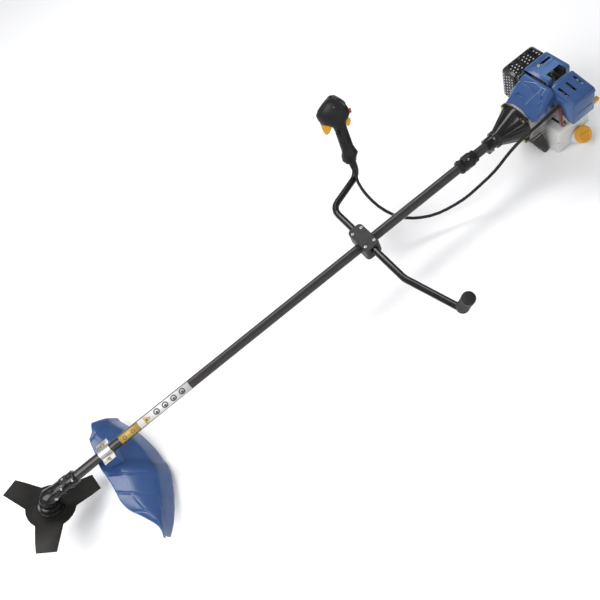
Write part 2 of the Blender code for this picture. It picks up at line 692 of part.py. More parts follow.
def build_crankcase(machine):
    case = block("crankcase", (CASE_REAR, -0.0340, -0.0400), (CRANKCASE_REAR, 0.0340, 0.0300),
                 "cast_aluminium",
                 machine)
    web_room = rod("crank room", 0.55, 0.65, 0.0280, "steel", machine, segments=28)
    mouth = rod("cylinder mouth", 0.010, 0.040, 0.0205, "steel", machine, axis="Z",
                centre=(CYLINDER_X, 0, 0),
                segments=28)
    cut(case, web_room, mouth)
    front = ((0.4880, 0), (0.4880, 0.0060), (0.5800, 0.0060), (0.5800, 0.0255), (0.5890, 0.0255),
             (0.5890, 0))
    crank = turned("crankshaft", front, "steel", machine, segments=24)
    back = ((0.6050, 0), (0.6050, 0.0255), (0.6140, 0.0255), (0.6140, 0.0060), (0.6400, 0.0060),
            (0.6400, 0.0200),
            (0.6500, 0.0200), (0.6500, 0))
    pin = rod("crank pin", 0.5850, 0.6090, 0.0060, "steel", machine, centre=(0, 0, -0.0160), segments=16)
    join(crank, turned("crank back half", back, "steel", machine, segments=24), pin)


def build_cylinder(machine):
    bore, core, fin = 0.0203, 0.0260, 0.0350
    profile = [(0.0303, bore), (0.0303, core + 0.004), (0.0370, core + 0.004), (0.0370, core)]
    for number in range(4):
        base = 0.0420 + 0.0095 * number
        profile += [(base, core), (base, fin), (base + 0.0030, fin), (base + 0.0030, core)]
    profile += [(0.0840, core), (0.0840, 0), (0.0740, 0), (0.0740, bore)]
    turned("cylinder", profile, "cast_aluminium", machine, axis="Z", centre=(CYLINDER_X, 0, 0), segments=16)
    rod("piston", 0.0460, 0.0700, 0.0198, "cast_aluminium", machine, axis="Z", centre=(CYLINDER_X, 0, 0),
        segments=16)


def build_spark_plug(machine):
    base = Vector((CYLINDER_X + 0.0120, -0.0120, 0.0843))
    plug = ((0, 0), (0, 0.0080), (0.0040, 0.0080), (0.0050, 0.0045), (0.0140, 0.0040), (0.0140, 0))
    turned("spark_plug", plug, "steel", machine, axis="Z", centre=base, segments=12)
    boot = ((0.0054, 0.0050), (0.0054, 0.0085), (0.0110, 0.0085), (0.0155, 0.0065), (0.0165, 0),
            (0.0144, 0),
            (0.0144, 0.0050))
    turned("spark_plug_boot", boot, "rubber", machine, axis="Z", centre=base, segments=14)


def box_shell(name, low, high, wall, open_side, look, machine, bevel):
    """A box with thin walls and one side left off: open_side is an axis with the end that is open, as -Y."""
    shell = block(name, low, high, look, machine, bevel)
    inner_low = [value + wall for value in low]
    inner_high = [value - wall for value in high]
    axis = "XYZ".index(open_side[1])
    if open_side[0] == "-":
        inner_low[axis] = low[axis] - 0.02
    else:
        inner_high[axis] = high[axis] + 0.02
    return cut(shell, block(name + " inside", inner_low, inner_high, "steel", machine, bevel * 0.7))


def build_muffler(machine):
    muffler = block("muffler", (0.5720, 0.0530, 0.0060), (0.6560, 0.0960, 0.0780), "steel", machine, 0.0060)
    cut(muffler, rod("muffler outlet", 0.085, 0.1, 0.0060, "steel", machine, axis="Y",
                     centre=(0.640, 0, 0.020),
                     segments=12))
    box_shell("muffler_guard", (0.5600, 0.0505, -0.0120), (0.6680, 0.1060, 0.0870), 0.0016, "-Y",
              "black_paint",
              machine, 0.0100)


def build_covers(machine):
    front, rear = FLANGE_X + 0.0008, 0.5775

    def cowl_section(x, low, high, left, right, slant):
        return [Vector(point) for point in (
            (x, left, low), (x, right, low), (x, right, high - slant), (x, right - slant, high),
            (x, left + slant, high), (x, left, high - slant))]

    outer = [cowl_section(front, 0.0450, 0.0500, -0.0670, 0.0360, 0.0020),
             cowl_section(0.5350, 0.0430, 0.0700, -0.0690, 0.0400, 0.0060),
             cowl_section(0.5720, 0.0430, 0.1000, -0.0660, 0.0410, 0.0100),
             cowl_section(rear, 0.0430, 0.1000, -0.0660, 0.0410, 0.0100)]
    cowl = lofted("front_cowl", outer, "blue_plastic", machine)
    inner = [cowl_section(0.5350, 0.0300, 0.0660, -0.0664, 0.0376, 0.0050),
             cowl_section(0.5720, 0.0300, 0.0976, -0.0636, 0.0386, 0.0090),
             cowl_section(rear + 0.02, 0.0300, 0.0976, -0.0636, 0.0386, 0.0090)]
    fan_room = extruded("cowl fan room", rounded_rectangle(0.0536, 0.0536, 0.0380, steps=5), 0.50, 0.5615,
                        "steel",
                        machine, axis="X")
    cut(cowl, lofted("cowl inside", inner, "steel", machine), fan_room)
    top = block("top_cover", (0.5805, -0.0380, 0.0700), (0.6610, 0.0460, 0.1050), "blue_plastic", machine,
                0.0070)
    inside = block("cover inside", (0.5600, -0.0356, 0.0500), (0.6586, 0.0436, 0.1026), "steel", machine,
                   0.0050)
    slot = block("cover slot", (0.6110, 0.0170, 0.0950), (0.6500, 0.0250, 0.1200), "steel", machine)
    window = block("boot window", (0.6000, -0.0600, 0.0850), (0.6450, -0.0150, 0.1200), "steel", machine)
    cut(top, inside, slot, window)


def build_carburettor(machine):
    block("carb_insulator", (0.5830, -0.0480, 0.0370), (0.6110, -0.0400, 0.0580), "black_plastic", machine)
    body = block("carburettor", (0.5830, -0.0820, 0.0320), (0.6130, -0.0484, 0.0600), "cast_aluminium",
                 machine, 0.0020)
    cut(body, rod("carb throat", -0.10, -0.06, 0.0070, "steel", machine, axis="Y",
                  centre=(0.5980, 0, 0.0460),
                  segments=16),
        rod("bulb seat", 0.0280, 0.0352, 0.0112, "steel", machine, axis="Z", centre=(0.5980, -0.0660, 0),
            segments=16))
    arm = ((0.6142, 0.0460), (0.6180, 0.0420), (0.6230, 0.0430), (0.6230, 0.0500), (0.6180, 0.0520))
    set_pivot(extruded("throttle_cam", arm, -0.0700, -0.0670, "zinc", machine, axis="Y"),
              (0.6180, -0.0685, 0.0470))
    plate = block("air_filter_base", (0.5845, -0.0870, 0.0318), (0.6475, -0.0824, 0.0860), "black_plastic",
                  machine)
    cut(plate, rod("filter throat", -0.10, -0.07, 0.0080, "steel", machine, axis="Y",
                   centre=(0.5980, 0, 0.0460),
                   segments=16))
    block("air_filter_element", (0.5845, -0.1100, 0.0300), (0.6475, -0.0874, 0.0840), "foam", machine,
          0.0030)
    side = ((-0.1270, 0.0130), (-0.1122, 0.0130), (-0.0500, 0.0449), (-0.0500, 0.1030), (-0.1270, 0.0880))
    hollow = ((-0.1246, 0.0154), (-0.1127, 0.0154), (-0.0818, 0.0313), (-0.0818, -0.0100),
              (-0.0300, -0.0100),
              (-0.0300, 0.1044), (-0.1246, 0.0860))
    cover = extruded("air_filter_cover", side, 0.5800, 0.6520, "blue_plastic", machine, "X", 0.0050)
    cut(cover, extruded("filter room", hollow, 0.5824, 0.6496, "steel", machine, "X"))
    for number, x in enumerate((0.5895, 0.6145, 0.6395), 1):
        cut(cover, block(f"cover vent {number}", (x - 0.0035, -0.1005, 0.0750),
                         (x + 0.0035, -0.0675, 0.1200), "steel",
                         machine))
    lever = block("choke_lever", (0.6530, -0.1240, 0.0240), (0.6710, -0.1120, 0.0360), "orange_plastic",
                  machine, 0.0030)
    arm = block("choke arm", (0.6530, -0.1160, 0.0270), (0.6555, -0.0960, 0.0330), "steel", machine)
    set_pivot(join(lever, arm), (0.6530, -0.1000, 0.0300))
    bulb = ((0, 0), (0, 0.0105), (-0.0060, 0.0100), (-0.0105, 0.0065), (-0.0120, 0))
    place = (0.5980, -0.0660, 0.0316)
    set_pivot(turned("primer_bulb", bulb, "tank_plastic", machine, axis="Z", centre=place, segments=16),
              place)


def build_tank(machine):
    side = ((0.5800, -0.0550), (0.5800, -0.1400), (0.6380, -0.1400), (0.6900, -0.1000), (0.6900, -0.0550))
    tank = extruded("fuel_tank", side, -0.0770, 0.0620, "tank_plastic", machine, "Y", 0.0080)
    neck_way = Vector((0.08, -0.72, 0.69)).normalized()
    neck = empty("neck_frame", (0.6420, -0.0720, -0.1250), aligned(neck_way, Vector((1, 0, 0))), machine)
    join(tank, rod("neck", 0.0040, 0.0310, 0.0195, "steel", neck, axis="Z", segments=24))
    room = ((0.5825, -0.0575), (0.5825, -0.1375), (0.6371, -0.1375), (0.6875, -0.0988), (0.6875, -0.0575))
    inside = extruded("tank inside", room, -0.0745, 0.0595, "steel", machine, "Y", 0.0060)
    cut(tank, inside, rod("neck bore", -0.0040, 0.0400, 0.0165, "steel", neck, axis="Z", segments=24))
    cap = ((0.0200, 0), (0.0200, 0.0160), (0.0313, 0.0160), (0.0313, 0.0240), (0.0430, 0.0240),
           (0.0450, 0.0225),
           (0.0450, 0.0170), (0.0435, 0.0160), (0.0435, 0))
    turned("fuel_cap", cap, "orange_plastic", neck, axis="Z", segments=24)
    for number, shift in enumerate((0, -0.0066), 1):
        route = [(x + shift, y, z) for x, y, z in HOSE_ROUTE]
        swept(f"fuel_hose_{number}", smooth_path(route, 0.009), HOSE_RADIUS, "hose_rubber", machine,
              segments=8)


def build_stand(machine):
    side = ((0.5250, -0.0533), (0.5560, -0.0533), (0.5600, -0.0700), (0.5760, -0.1300), (0.5760, -0.1420),
            (0.5620, -0.1420), (0.5560, -0.1300), (0.5250, -0.0700))
    stand = extruded("engine_stand", side, -0.0450, 0.0450, "black_plastic", machine, axis="Y",
                     bevel=0.0030)
    cut(stand, block("stand arch", (0.50, -0.0200, -0.1700), (0.60, 0.0200, -0.1050), "steel", machine,
                     0.0080))


def build_starter(machine):
    shell = ((CRANKCASE_REAR + GAP, 0), (CRANKCASE_REAR + GAP, 0.0480), (0.6740, 0.0480), (0.6820, 0.0430),
             (STARTER_REAR, 0.0280), (STARTER_REAR, 0))
    housing = turned("recoil_housing", shell, "black_plastic", machine)
    room = ((0.6200, 0), (0.6200, 0.0458), (0.6720, 0.0458), (0.6790, 0.0410), (0.6830, 0.0260),
            (0.6830, 0))
    vents = [block(f"starter vent {number}", (0.6700, y - 0.0030, 0.0100), (0.7000, y + 0.0030, 0.0360),
                   "steel", machine)
             for number, y in enumerate((-0.024, -0.012, 0.0, 0.012, 0.024), 1)]
    cut(housing, turned("starter room", room, "steel", machine), *vents)
    pulley = ((0.6540, 0), (0.6540, 0.0420), (0.6570, 0.0420), (0.6580, 0.0350), (0.6640, 0.0350),
              (0.6650, 0.0420),
              (0.6680, 0.0420), (0.6680, 0))
    turned("starter_pulley", pulley, "black_plastic", machine, segments=24)
    grip = rod("starter_handle", 0.6400, 0.6820, 0.0072, "black_plastic", machine,
               centre=(0, 0.0640, -0.0300),
               segments=14)
    stem = rod("starter handle stem", 0.0412, 0.0640, 0.0045, "steel", machine, axis="Y",
               centre=(0.6610, 0, -0.0300),
               segments=10)
    set_pivot(join(grip, stem), (0.6610, 0.0640, -0.0300))


def main():
    clear_scene()
    make_materials()
    machine = empty("machine_frame", MACHINE_POINT)
    head = empty("head_frame", (HEAD_X, 0, 0), Euler((0, HEAD_TILT, 0)).to_matrix(), machine)
    bpy.context.view_layer.update()
    build_shaft(machine)
    build_gear_case(machine, head)
    build_gears(machine, head)
    build_blade(head)
    build_guard(machine)
    build_guard_mount(machine)
    build_handle_clamp(machine)
    build_handlebar(machine)
    build_left_grip(machine)
    build_control(machine)
    build_cable(machine)
    build_hanger(machine)
    build_clutch(machine)
    build_flywheel(machine)
    build_fan_case(machine)
    build_crankcase(machine)
    build_cylinder(machine)
    build_spark_plug(machine)
    build_muffler(machine)
    build_covers(machine)
    build_carburettor(machine)
    build_tank(machine)
    build_stand(machine)
    build_starter(machine)


main()
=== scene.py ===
"""Looks of the brush cutter: materials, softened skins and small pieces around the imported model.

Metres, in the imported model's frame. Most places are given from the machine point, which is on the shaft's
axis under the handle clamp, with +X towards the engine and +Y towards the right control handle.
"""

import json
import math

import bmesh
import bpy
from mathutils import Matrix, Vector

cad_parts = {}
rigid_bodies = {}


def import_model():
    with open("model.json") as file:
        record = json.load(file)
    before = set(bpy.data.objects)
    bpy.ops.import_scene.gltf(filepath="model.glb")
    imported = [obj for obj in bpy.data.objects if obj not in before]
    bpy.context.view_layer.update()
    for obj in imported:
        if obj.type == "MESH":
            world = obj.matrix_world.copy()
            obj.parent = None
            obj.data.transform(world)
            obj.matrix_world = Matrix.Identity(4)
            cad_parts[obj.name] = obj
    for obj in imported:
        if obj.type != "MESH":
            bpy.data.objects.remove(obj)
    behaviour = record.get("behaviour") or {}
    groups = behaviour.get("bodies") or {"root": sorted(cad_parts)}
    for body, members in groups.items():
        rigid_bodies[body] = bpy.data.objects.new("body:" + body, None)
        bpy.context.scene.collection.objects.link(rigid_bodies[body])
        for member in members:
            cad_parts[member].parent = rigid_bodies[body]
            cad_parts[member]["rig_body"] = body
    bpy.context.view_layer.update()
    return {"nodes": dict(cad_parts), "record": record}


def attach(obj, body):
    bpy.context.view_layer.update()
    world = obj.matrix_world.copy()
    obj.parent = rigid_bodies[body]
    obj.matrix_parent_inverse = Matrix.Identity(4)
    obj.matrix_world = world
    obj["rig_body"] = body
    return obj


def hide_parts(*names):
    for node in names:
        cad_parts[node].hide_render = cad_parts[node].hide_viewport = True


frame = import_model()
nodes = frame["nodes"]

MACHINE_POINT = Vector((0.22188, 0.04124, 0.1420))
TUBE_RADIUS = 0.013
HEAD_X = -1.032
HEAD_TILT = math.radians(30)
BAR_X, CLAMP_Y = -0.0075, -0.006
CLAMP_TOP = 0.037
RIGHT_ELBOW = Vector((0.114, 0.191, 0.008))
RIGHT_GRIP_WAY = Vector((0.2, 0.42, 0.88)).normalized()
LEFT_ELBOW = Vector((0.034, -0.328, 0.027))
LEFT_GRIP_WAY = Vector((-0.025, -0.369, 0.929)).normalized()
CONTROL_REAR = Vector((0.82, -0.57, 0))
NECK_POINT = Vector((0.6420, -0.0720, -0.1250))
NECK_WAY = Vector((0.08, -0.72, 0.69)).normalized()
CABLE_RADIUS = 0.0042
CABLE_ROUTE = (
    (0.1132, 0.1992, 0.0484),
    (0.1108, 0.1943, 0.0381),
    (0.1060, 0.1810, 0.0280),
    (0.0963, 0.1600, 0.0180),
    (0.0910, 0.1250, 0.0020),
    (0.0980, 0.0890, -0.0280),
    (0.1150, 0.0540, -0.0530),
    (0.1380, 0.0320, -0.0720),
    (0.1720, 0.0110, -0.0870),
    (0.2170, -0.0100, -0.0930),
    (0.2850, -0.0300, -0.0850),
    (0.3400, -0.0450, -0.0580),
    (0.3770, -0.0580, -0.0290),
    (0.4200, -0.0740, 0.0220),
    (0.4520, -0.0840, 0.0490),
    (0.4900, -0.0890, 0.0600),
    (0.5340, -0.0890, 0.0650),
    (0.5720, -0.0860, 0.0640),
)
LABEL_FACING = math.radians(127)
LABEL_HALF_WIDTH = 0.0126
LABEL_LIFT, MARK_LIFT, MARK_POINTS = 0.0002, 0.0004, 36
YELLOW_START, LABEL_JOIN, WHITE_END = -0.806, -0.746, -0.585
STRAP_SCREWS_X, STRAP_SCREWS_Y = -0.853, 0.0240
CLAMP_SCREWS_X, CLAMP_SCREWS_Y = 0.0140, 0.0275
CAMERA_PLACE = Vector((-0.34471, -1.01254, 1.48576))
CAMERA_AXES = ((0.7779, -0.5466, -0.3099), (0.6252, 0.6241, 0.4687), (-0.0628, -0.5584, 0.8272))
CAMERA_LENS, CAMERA_SENSOR = 42.0, 36.0


def aligned(along, across):
    """The rotation that turns +Z to along and +X as near across as it can."""
    rear = (across - along * across.dot(along)).normalized()
    return Matrix((rear, along.cross(rear), along)).transposed()


def placed(point, rotation=None):
    """The matrix of a frame at a machine-coordinate point."""
    turn = rotation.to_4x4() if rotation is not None else Matrix.Identity(4)
    return Matrix.Translation(MACHINE_POINT + Vector(point)) @ turn


MACHINE = placed((0, 0, 0))
HEAD = placed((HEAD_X, 0, 0), Matrix.Rotation(HEAD_TILT, 3, "Y"))
CONTROL = placed(RIGHT_ELBOW, aligned(RIGHT_GRIP_WAY, CONTROL_REAR))
LEFT_GRIP = placed(LEFT_ELBOW, aligned(LEFT_GRIP_WAY, Vector((1, 0, 0))))
NECK = placed(NECK_POINT, aligned(NECK_WAY, Vector((1, 0, 0))))


# ---- materials ----

def surface(name, colour, second, roughness, metallic=0.0, spot=25.0, grain=900.0, bump=0.15, depth=0.0002,
            rough_spread=0.10, coat=0.0, edge_wear_and_highlight=None, streaks=None, **sockets):
    """A shader with uneven colour, uneven roughness and fine relief, and lighter edges where asked, which
    stand for worn edges on some looks and are a painted highlight on others.
    """
    look = bpy.data.materials.new(name)
    look.use_nodes = True
    tree = look.node_tree
    shader = tree.nodes["Principled BSDF"]
    link = tree.links.new
    place = tree.nodes.new("ShaderNodeTexCoord").outputs["Object"]
    if streaks:
        mapping = tree.nodes.new("ShaderNodeMapping")
        mapping.inputs["Scale"].default_value = streaks
        link(place, mapping.inputs["Vector"])
        grain_place = mapping.outputs["Vector"]
    else:
        grain_place = place

    def noise(where, scale, detail):
        texture = tree.nodes.new("ShaderNodeTexNoise")
        texture.inputs["Scale"].default_value = scale
        texture.inputs["Detail"].default_value = detail
        link(where, texture.inputs["Vector"])
        return texture.outputs["Fac"]

    def blend_of(factor, first, last):
        mix = tree.nodes.new("ShaderNodeMix")
        mix.data_type = "RGBA"
        link(factor, mix.inputs["Factor"])
        for socket, value in ((mix.inputs[6], first), (mix.inputs[7], last)):
            if isinstance(value, bpy.types.NodeSocket):
                link(value, socket)
            else:
                socket.default_value = (*value, 1)
        return mix.outputs[2]

    def ranged(value, low, high, from_low=0.35, from_high=0.65):
        remap = tree.nodes.new("ShaderNodeMapRange")
        remap.inputs["From Min"].default_value = from_low
        remap.inputs["From Max"].default_value = from_high
        remap.inputs["To Min"].default_value = low
        remap.inputs["To Max"].default_value = high
        link(value, remap.inputs["Value"])
        return remap.outputs["Result"]

    patches = noise(place, spot, 4)
    colour_out = blend_of(ranged(patches, 0, 1), colour, second)
    # Lighter colour on pointy edges: worn edges, and on the blue plastic a painted highlight.
    if edge_wear_and_highlight:
        edges = tree.nodes.new("ShaderNodeNewGeometry").outputs["Pointiness"]
        colour_out = blend_of(ranged(edges, 0, 0.55, 0.54, 0.62), colour_out, edge_wear_and_highlight)
    link(colour_out, shader.inputs["Base Color"])
    link(ranged(noise(grain_place, spot * 5, 5), roughness - rough_spread / 2, roughness + rough_spread / 2),
         shader.inputs["Roughness"])
    relief = tree.nodes.new("ShaderNodeBump")
    relief.inputs["Strength"].default_value = bump
    relief.inputs["Distance"].default_value = depth
    link(noise(grain_place, grain, 3), relief.inputs["Height"])
    link(relief.outputs["Normal"], shader.inputs["Normal"])
    shader.inputs["Metallic"].default_value = metallic
    shader.inputs["Coat Weight"].default_value = coat
    shader.inputs["Coat Roughness"].default_value = 0.06
    for socket, value in sockets.items():
        shader.inputs[socket.replace("_", " ")].default_value = value
    return look


LOOKS = {
    # Blue plastic's lighter edge colour is a painted highlight on its moulded bevels.
    "blue_plastic": surface(
        "blue gloss plastic", (0.029, 0.068, 0.185), (0.036, 0.082, 0.215), 0.20,
        spot=12, grain=500, bump=0.05, coat=0.12, rough_spread=0.08, edge_wear_and_highlight=(0.13, 0.24, 0.46),
        Specular_IOR_Level=0.30),
    # A lighter blue that paints the highlights on the cowl's bevelled edges.
    "painted_highlight_blue": surface(
        "light blue painted edge highlight", (0.085, 0.175, 0.330), (0.110, 0.210, 0.380), 0.22,
        spot=12, grain=500, bump=0.05, coat=0.3),
    "black_plastic": surface(
        "black grained plastic", (0.009, 0.0082, 0.008), (0.014, 0.013, 0.0125), 0.40,
        grain=1600, bump=0.30, edge_wear_and_highlight=(0.06, 0.06, 0.06), Specular_IOR_Level=0.22),
    "black_paint": surface(
        "black gloss paint", (0.006, 0.0055, 0.0055), (0.010, 0.009, 0.009), 0.17,
        grain=260, bump=0.05, edge_wear_and_highlight=(0.07, 0.065, 0.06), Specular_IOR_Level=0.34),
    "rubber": surface(
        "black rubber", (0.011, 0.010, 0.010), (0.018, 0.017, 0.017), 0.55,
        grain=1300, bump=0.35, Specular_IOR_Level=0.20),
    "orange_plastic": surface(
        "orange plastic", (0.560, 0.262, 0.011), (0.640, 0.312, 0.018), 0.34,
        grain=800, bump=0.12, coat=0.2),
    "red_plastic": surface(
        "red plastic", (0.260, 0.022, 0.016), (0.330, 0.030, 0.020), 0.36,
        grain=900, bump=0.12),
    "cast_aluminium": surface(
        "cast aluminium", (0.430, 0.415, 0.390), (0.270, 0.260, 0.245), 0.46, 0.85,
        spot=40, grain=1100, bump=0.55, depth=0.0004),
    "steel": surface(
        "machined steel", (0.540, 0.535, 0.530), (0.400, 0.395, 0.390), 0.28, 1.0,
        grain=900, bump=0.15, streaks=(1, 12, 12)),
    "zinc": surface(
        "bright plated steel", (0.560, 0.555, 0.540), (0.430, 0.425, 0.415), 0.40, 1.0,
        grain=500, bump=0.06),
    "brass": surface(
        "yellow plated steel", (0.620, 0.480, 0.260), (0.480, 0.360, 0.180), 0.30, 1.0,
        grain=600, bump=0.10),
    "blade_steel": surface(
        "blackened blade steel", (0.010, 0.0095, 0.0085), (0.017, 0.016, 0.014), 0.50, 0.0,
        grain=420, bump=0.18, edge_wear_and_highlight=(0.07, 0.065, 0.06), streaks=(1, 6, 1), Specular_IOR_Level=0.10),
    "tank_plastic": surface(
        "translucent tank plastic", (0.560, 0.560, 0.545), (0.650, 0.650, 0.635), 0.34,
        spot=18, grain=700, bump=0.12, Subsurface_Weight=0.25, Subsurface_Scale=0.004),
    "hose_rubber": surface(
        "brown hose rubber", (0.150, 0.034, 0.018), (0.210, 0.052, 0.026), 0.40,
        grain=900, bump=0.15),
    "foam": surface(
        "filter foam", (0.040, 0.040, 0.040), (0.075, 0.075, 0.073), 0.95,
        spot=300, grain=2200, bump=0.9, depth=0.0008),
    "white_label": surface(
        "white label film", (0.660, 0.660, 0.650), (0.600, 0.600, 0.590), 0.35,
        grain=400, bump=0.05),
    "yellow_label": surface(
        "yellow label film", (0.400, 0.255, 0.045), (0.450, 0.290, 0.060), 0.35,
        grain=400, bump=0.05),
    "dark_print": surface(
        "dark label print", (0.040, 0.038, 0.036), (0.060, 0.058, 0.055), 0.40,
        grain=400, bump=0.05),
}
SLOT_OF = {part["node"]: part["material_slot"] for part in frame["record"]["subparts"]}


# ---- making pieces ----

SHARP_DEGREES = 38
SCREW_SINK = 0.0008
ROUNDING_ANGLE = math.radians(32)
WELD_DISTANCE, FLAT_ANGLE = 2e-6, math.radians(0.6)


def mesh_of(bm, name):
    """Gives mesh code's result as a mesh, and frees the code's copy."""
    mesh = bpy.data.meshes.new(name)
    bm.to_mesh(mesh)
    bm.free()
    return mesh


def outward(bm, where):
    """Moves the points into the frame that where gives, and turns every face outwards."""
    bm.transform(where)
    bmesh.ops.recalc_face_normals(bm, faces=bm.faces)


def add_piece(name, mesh, look, body, sharp=SHARP_DEGREES):
    """Shows a mesh in a look, as a piece that rides on a body. Edges above the sharp angle stay hard."""
    mesh.shade_smooth()
    mesh.set_sharp_from_angle(angle=math.radians(sharp))
    mesh.materials.clear()
    mesh.materials.append(LOOKS[look])
    obj = bpy.data.objects.new(name, mesh)
    bpy.context.scene.collection.objects.link(obj)
    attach(obj, body)
    return obj


def finished(name, bm, look, body="machine", where=MACHINE, sharp=SHARP_DEGREES):
    """Turns mesh code's result into a piece. Its points are in the frame that where gives."""
    outward(bm, where)
    return add_piece(name, mesh_of(bm, name), look, body, sharp)


def soften(obj, width, segments=2):
    """Rounds the edges that are sharper than the rounding angle."""
    bevel = obj.modifiers.new("edge rounding", "BEVEL")
    bevel.width = width
    bevel.segments = segments
    bevel.limit_method = "ANGLE"
    bevel.angle_limit = ROUNDING_ANGLE
    bevel.harden_normals = False
    return obj


def skin(node, width=0.0, look=None, segments=2):
    """A copy of a CAD node with welded points, smooth shading and rounded edges, shown in its place."""
    bm = bmesh.new()
    bm.from_mesh(nodes[node].data)
    bmesh.ops.remove_doubles(bm, verts=bm.verts, dist=WELD_DISTANCE)
    bmesh.ops.dissolve_limit(bm, angle_limit=FLAT_ANGLE, verts=bm.verts, edges=bm.edges)
    mesh = mesh_of(bm, node + "_skin")
    obj = add_piece(node + "_skin", mesh, look or SLOT_OF[node], nodes[node]["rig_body"])
    if width:
        soften(obj, width, segments)
    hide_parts(node)
    return obj


def skins(widths, segments=2):
    """One skin for each node, with its own edge rounding."""
    for node, width in widths.items():
        skin(node, width, segments=segments)


def bridge(bm, first, second):
    """Joins two loops of the same length with a band of faces."""
    count = len(first)
    for index in range(count):
        after = (index + 1) % count
        bm.faces.new((first[index], first[after], second[after], second[index]))


def shaped_ring(bm, centre, across, up, radius_at, count):
    """A loop of points round a centre. radius_at(angle) gives its radius."""
    ring = []
    for index in range(count):
        angle = 2 * math.pi * index / count
        radius = radius_at(angle)
        ring.append(bm.verts.new(centre + radius * (math.cos(angle) * across + math.sin(angle) * up)))
    return ring


def lathe_into(bm, profile, place, way, count=32, lobes=None):
    """Adds a turned shape of (height, radius) points. lobes(angle, step) scales the radius there."""
    way = Vector(way).normalized()
    across = way.orthogonal().normalized()
    up = way.cross(across)
    loops = []
    for step, (height, radius) in enumerate(profile):
        def radius_at(angle, radius=radius, step=step):
            return radius * (lobes(angle, step) if lobes else 1)
        loops.append(shaped_ring(bm, Vector(place) + way * height, across, up, radius_at, count))
    for first, second in zip(loops, loops[1:]):
        bridge(bm, first, second)
    bm.faces.new(loops[0][::-1])
    bm.faces.new(loops[-1])


def lathe(name, profile, place, way, look, body="machine", where=MACHINE, count=40, lobes=None):
    """A turned shape as a piece of its own."""
    bm = bmesh.new()
    lathe_into(bm, profile, place, way, count, lobes)
    return finished(name, bm, look, body, where)


def rings(name, profile, places, way, look, where=MACHINE, count=32):
    """The same turned shape at each place, all in one piece."""
    bm = bmesh.new()
    for place in places:
        lathe_into(bm, profile, place, way, count)
    return finished(name, bm, look, where=where)


def hexagon(angle):
    """The radius of a six-sided hole or head at an angle, against a circle's."""
    return 0.92 / math.cos((angle + math.pi / 6) % (math.pi / 3) - math.pi / 6)


def cross_shape(angle):
    """The radius of a cross recess at an angle, against a circle's."""
    return 0.62 + 0.55 * abs(math.cos(2 * angle)) ** 3


def screws(name, places, radius, look, body="machine", where=MACHINE, recess="socket", height=0.7):
    """Screw heads with a socket, a cross recess or a hexagon outside, each at (place, way).

    Height is the head's, as a share of its radius.
    """
    bm = bmesh.new()
    top = radius * height
    for place, way in places:
        profile = ((-SCREW_SINK, radius), (top * 0.75, radius), (top, radius * 0.84), (top, radius * 0.52),
                   (top * 0.35, radius * 0.48))
        if recess == "hex":
            profile = ((-SCREW_SINK, radius * 1.25), (0.0006, radius * 1.25), (0.0007, radius),
                       (top * 0.9, radius), (top, radius * 0.86))

        def lobes(angle, step):
            if recess == "hex":
                return hexagon(angle) if step >= 2 else 1
            if step >= 3:
                return hexagon(angle) if recess == "socket" else cross_shape(angle)
            return 1

        lathe_into(bm, profile, place, way, 24, lobes)
    return finished(name, bm, look, body, where, sharp=30)


def mirrored(x, y):
    """The four sign pairs of an (x, y) place, as a list."""
    return [(sign_x * x, sign_y * y) for sign_x in (-1, 1) for sign_y in (-1, 1)]


def prism_into(bm, outline, depth, place, across, up):
    """Adds a flat outline in the (across, up) plane, pushed by depth along their normal."""
    across, up = Vector(across).normalized(), Vector(up).normalized()
    way = across.cross(up)
    layers = []
    for distance in (0, depth):
        layers.append([bm.verts.new(Vector(place) + across * x + up * y + way * distance)
                       for x, y in outline])
    bridge(bm, layers[0], layers[1])
    bm.faces.new(layers[0][::-1])
    bm.faces.new(layers[1])


def box_into(bm, low, high):
    """Adds a box between its low and high corners."""
    outline = ((low[0], low[1]), (high[0], low[1]), (high[0], high[1]), (low[0], high[1]))
    prism_into(bm, outline, high[2] - low[2], (0, 0, low[2]), (1, 0, 0), (0, 1, 0))


def boxes(name, corners, look, where=MACHINE, bevel=0.0006):
    """Boxes with rounded edges as one piece, each given by its low and high corners."""
    bm = bmesh.new()
    for low, high in corners:
        box_into(bm, low, high)
    return soften(finished(name, bm, look, where=where), bevel)


def smooth_path(points, spacing):
    """A smooth curve through the points, sampled about every spacing."""
    points = [Vector(point) for point in points]
    padded = [points[0] * 2 - points[1], *points, points[-1] * 2 - points[-2]]
    path = []
    for p0, p1, p2, p3 in zip(padded, padded[1:], padded[2:], padded[3:]):
        steps = max(1, round((p2 - p1).length / spacing))
        for step in range(steps):
            t = step / steps
            path.append(
                0.5 * (2 * p1 + (p2 - p0) * t + (2 * p0 - 5 * p1 + 4 * p2 - p3) * t * t
                       + (3 * p1 - p0 - 3 * p2 + p3) * t ** 3)
            )
    path.append(points[-1])
    return path


def tube_along(name, points, radius, look, spacing=0.006):
    """A round piece of the machine along a smooth path through the points. Gives the piece and the path."""
    curve = bpy.data.curves.new(name, "CURVE")
    curve.dimensions = "3D"
    curve.bevel_depth = radius
    curve.bevel_resolution = 4
    curve.use_fill_caps = True
    path = smooth_path(points, spacing)
    spline = curve.splines.new("POLY")
    spline.points.add(len(path) - 1)
    for point, place in zip(spline.points, path):
        point.co = (*(MACHINE @ place), 1)
    spline.use_smooth = True
    curve.materials.append(LOOKS[look])
    obj = bpy.data.objects.new(name, curve)
    bpy.context.scene.collection.objects.link(obj)
    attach(obj, "machine")
    return obj, path


# ---- camera, light and floor ----

FLOOR_HALF_SIZE, FLOOR_GAP = 8, 0.0005


def make_camera(scene):
    """The camera that was fitted to the photograph's viewpoint."""
    data = bpy.data.cameras.new("camera")
    data.lens = CAMERA_LENS
    data.sensor_width = CAMERA_SENSOR
    data.clip_end = 50
    camera = bpy.data.objects.new("camera", data)
    scene.collection.objects.link(camera)
    camera.matrix_world = placed(CAMERA_PLACE, Matrix(CAMERA_AXES).transposed())
    scene.camera = camera
    scene.view_settings.view_transform = "Standard"


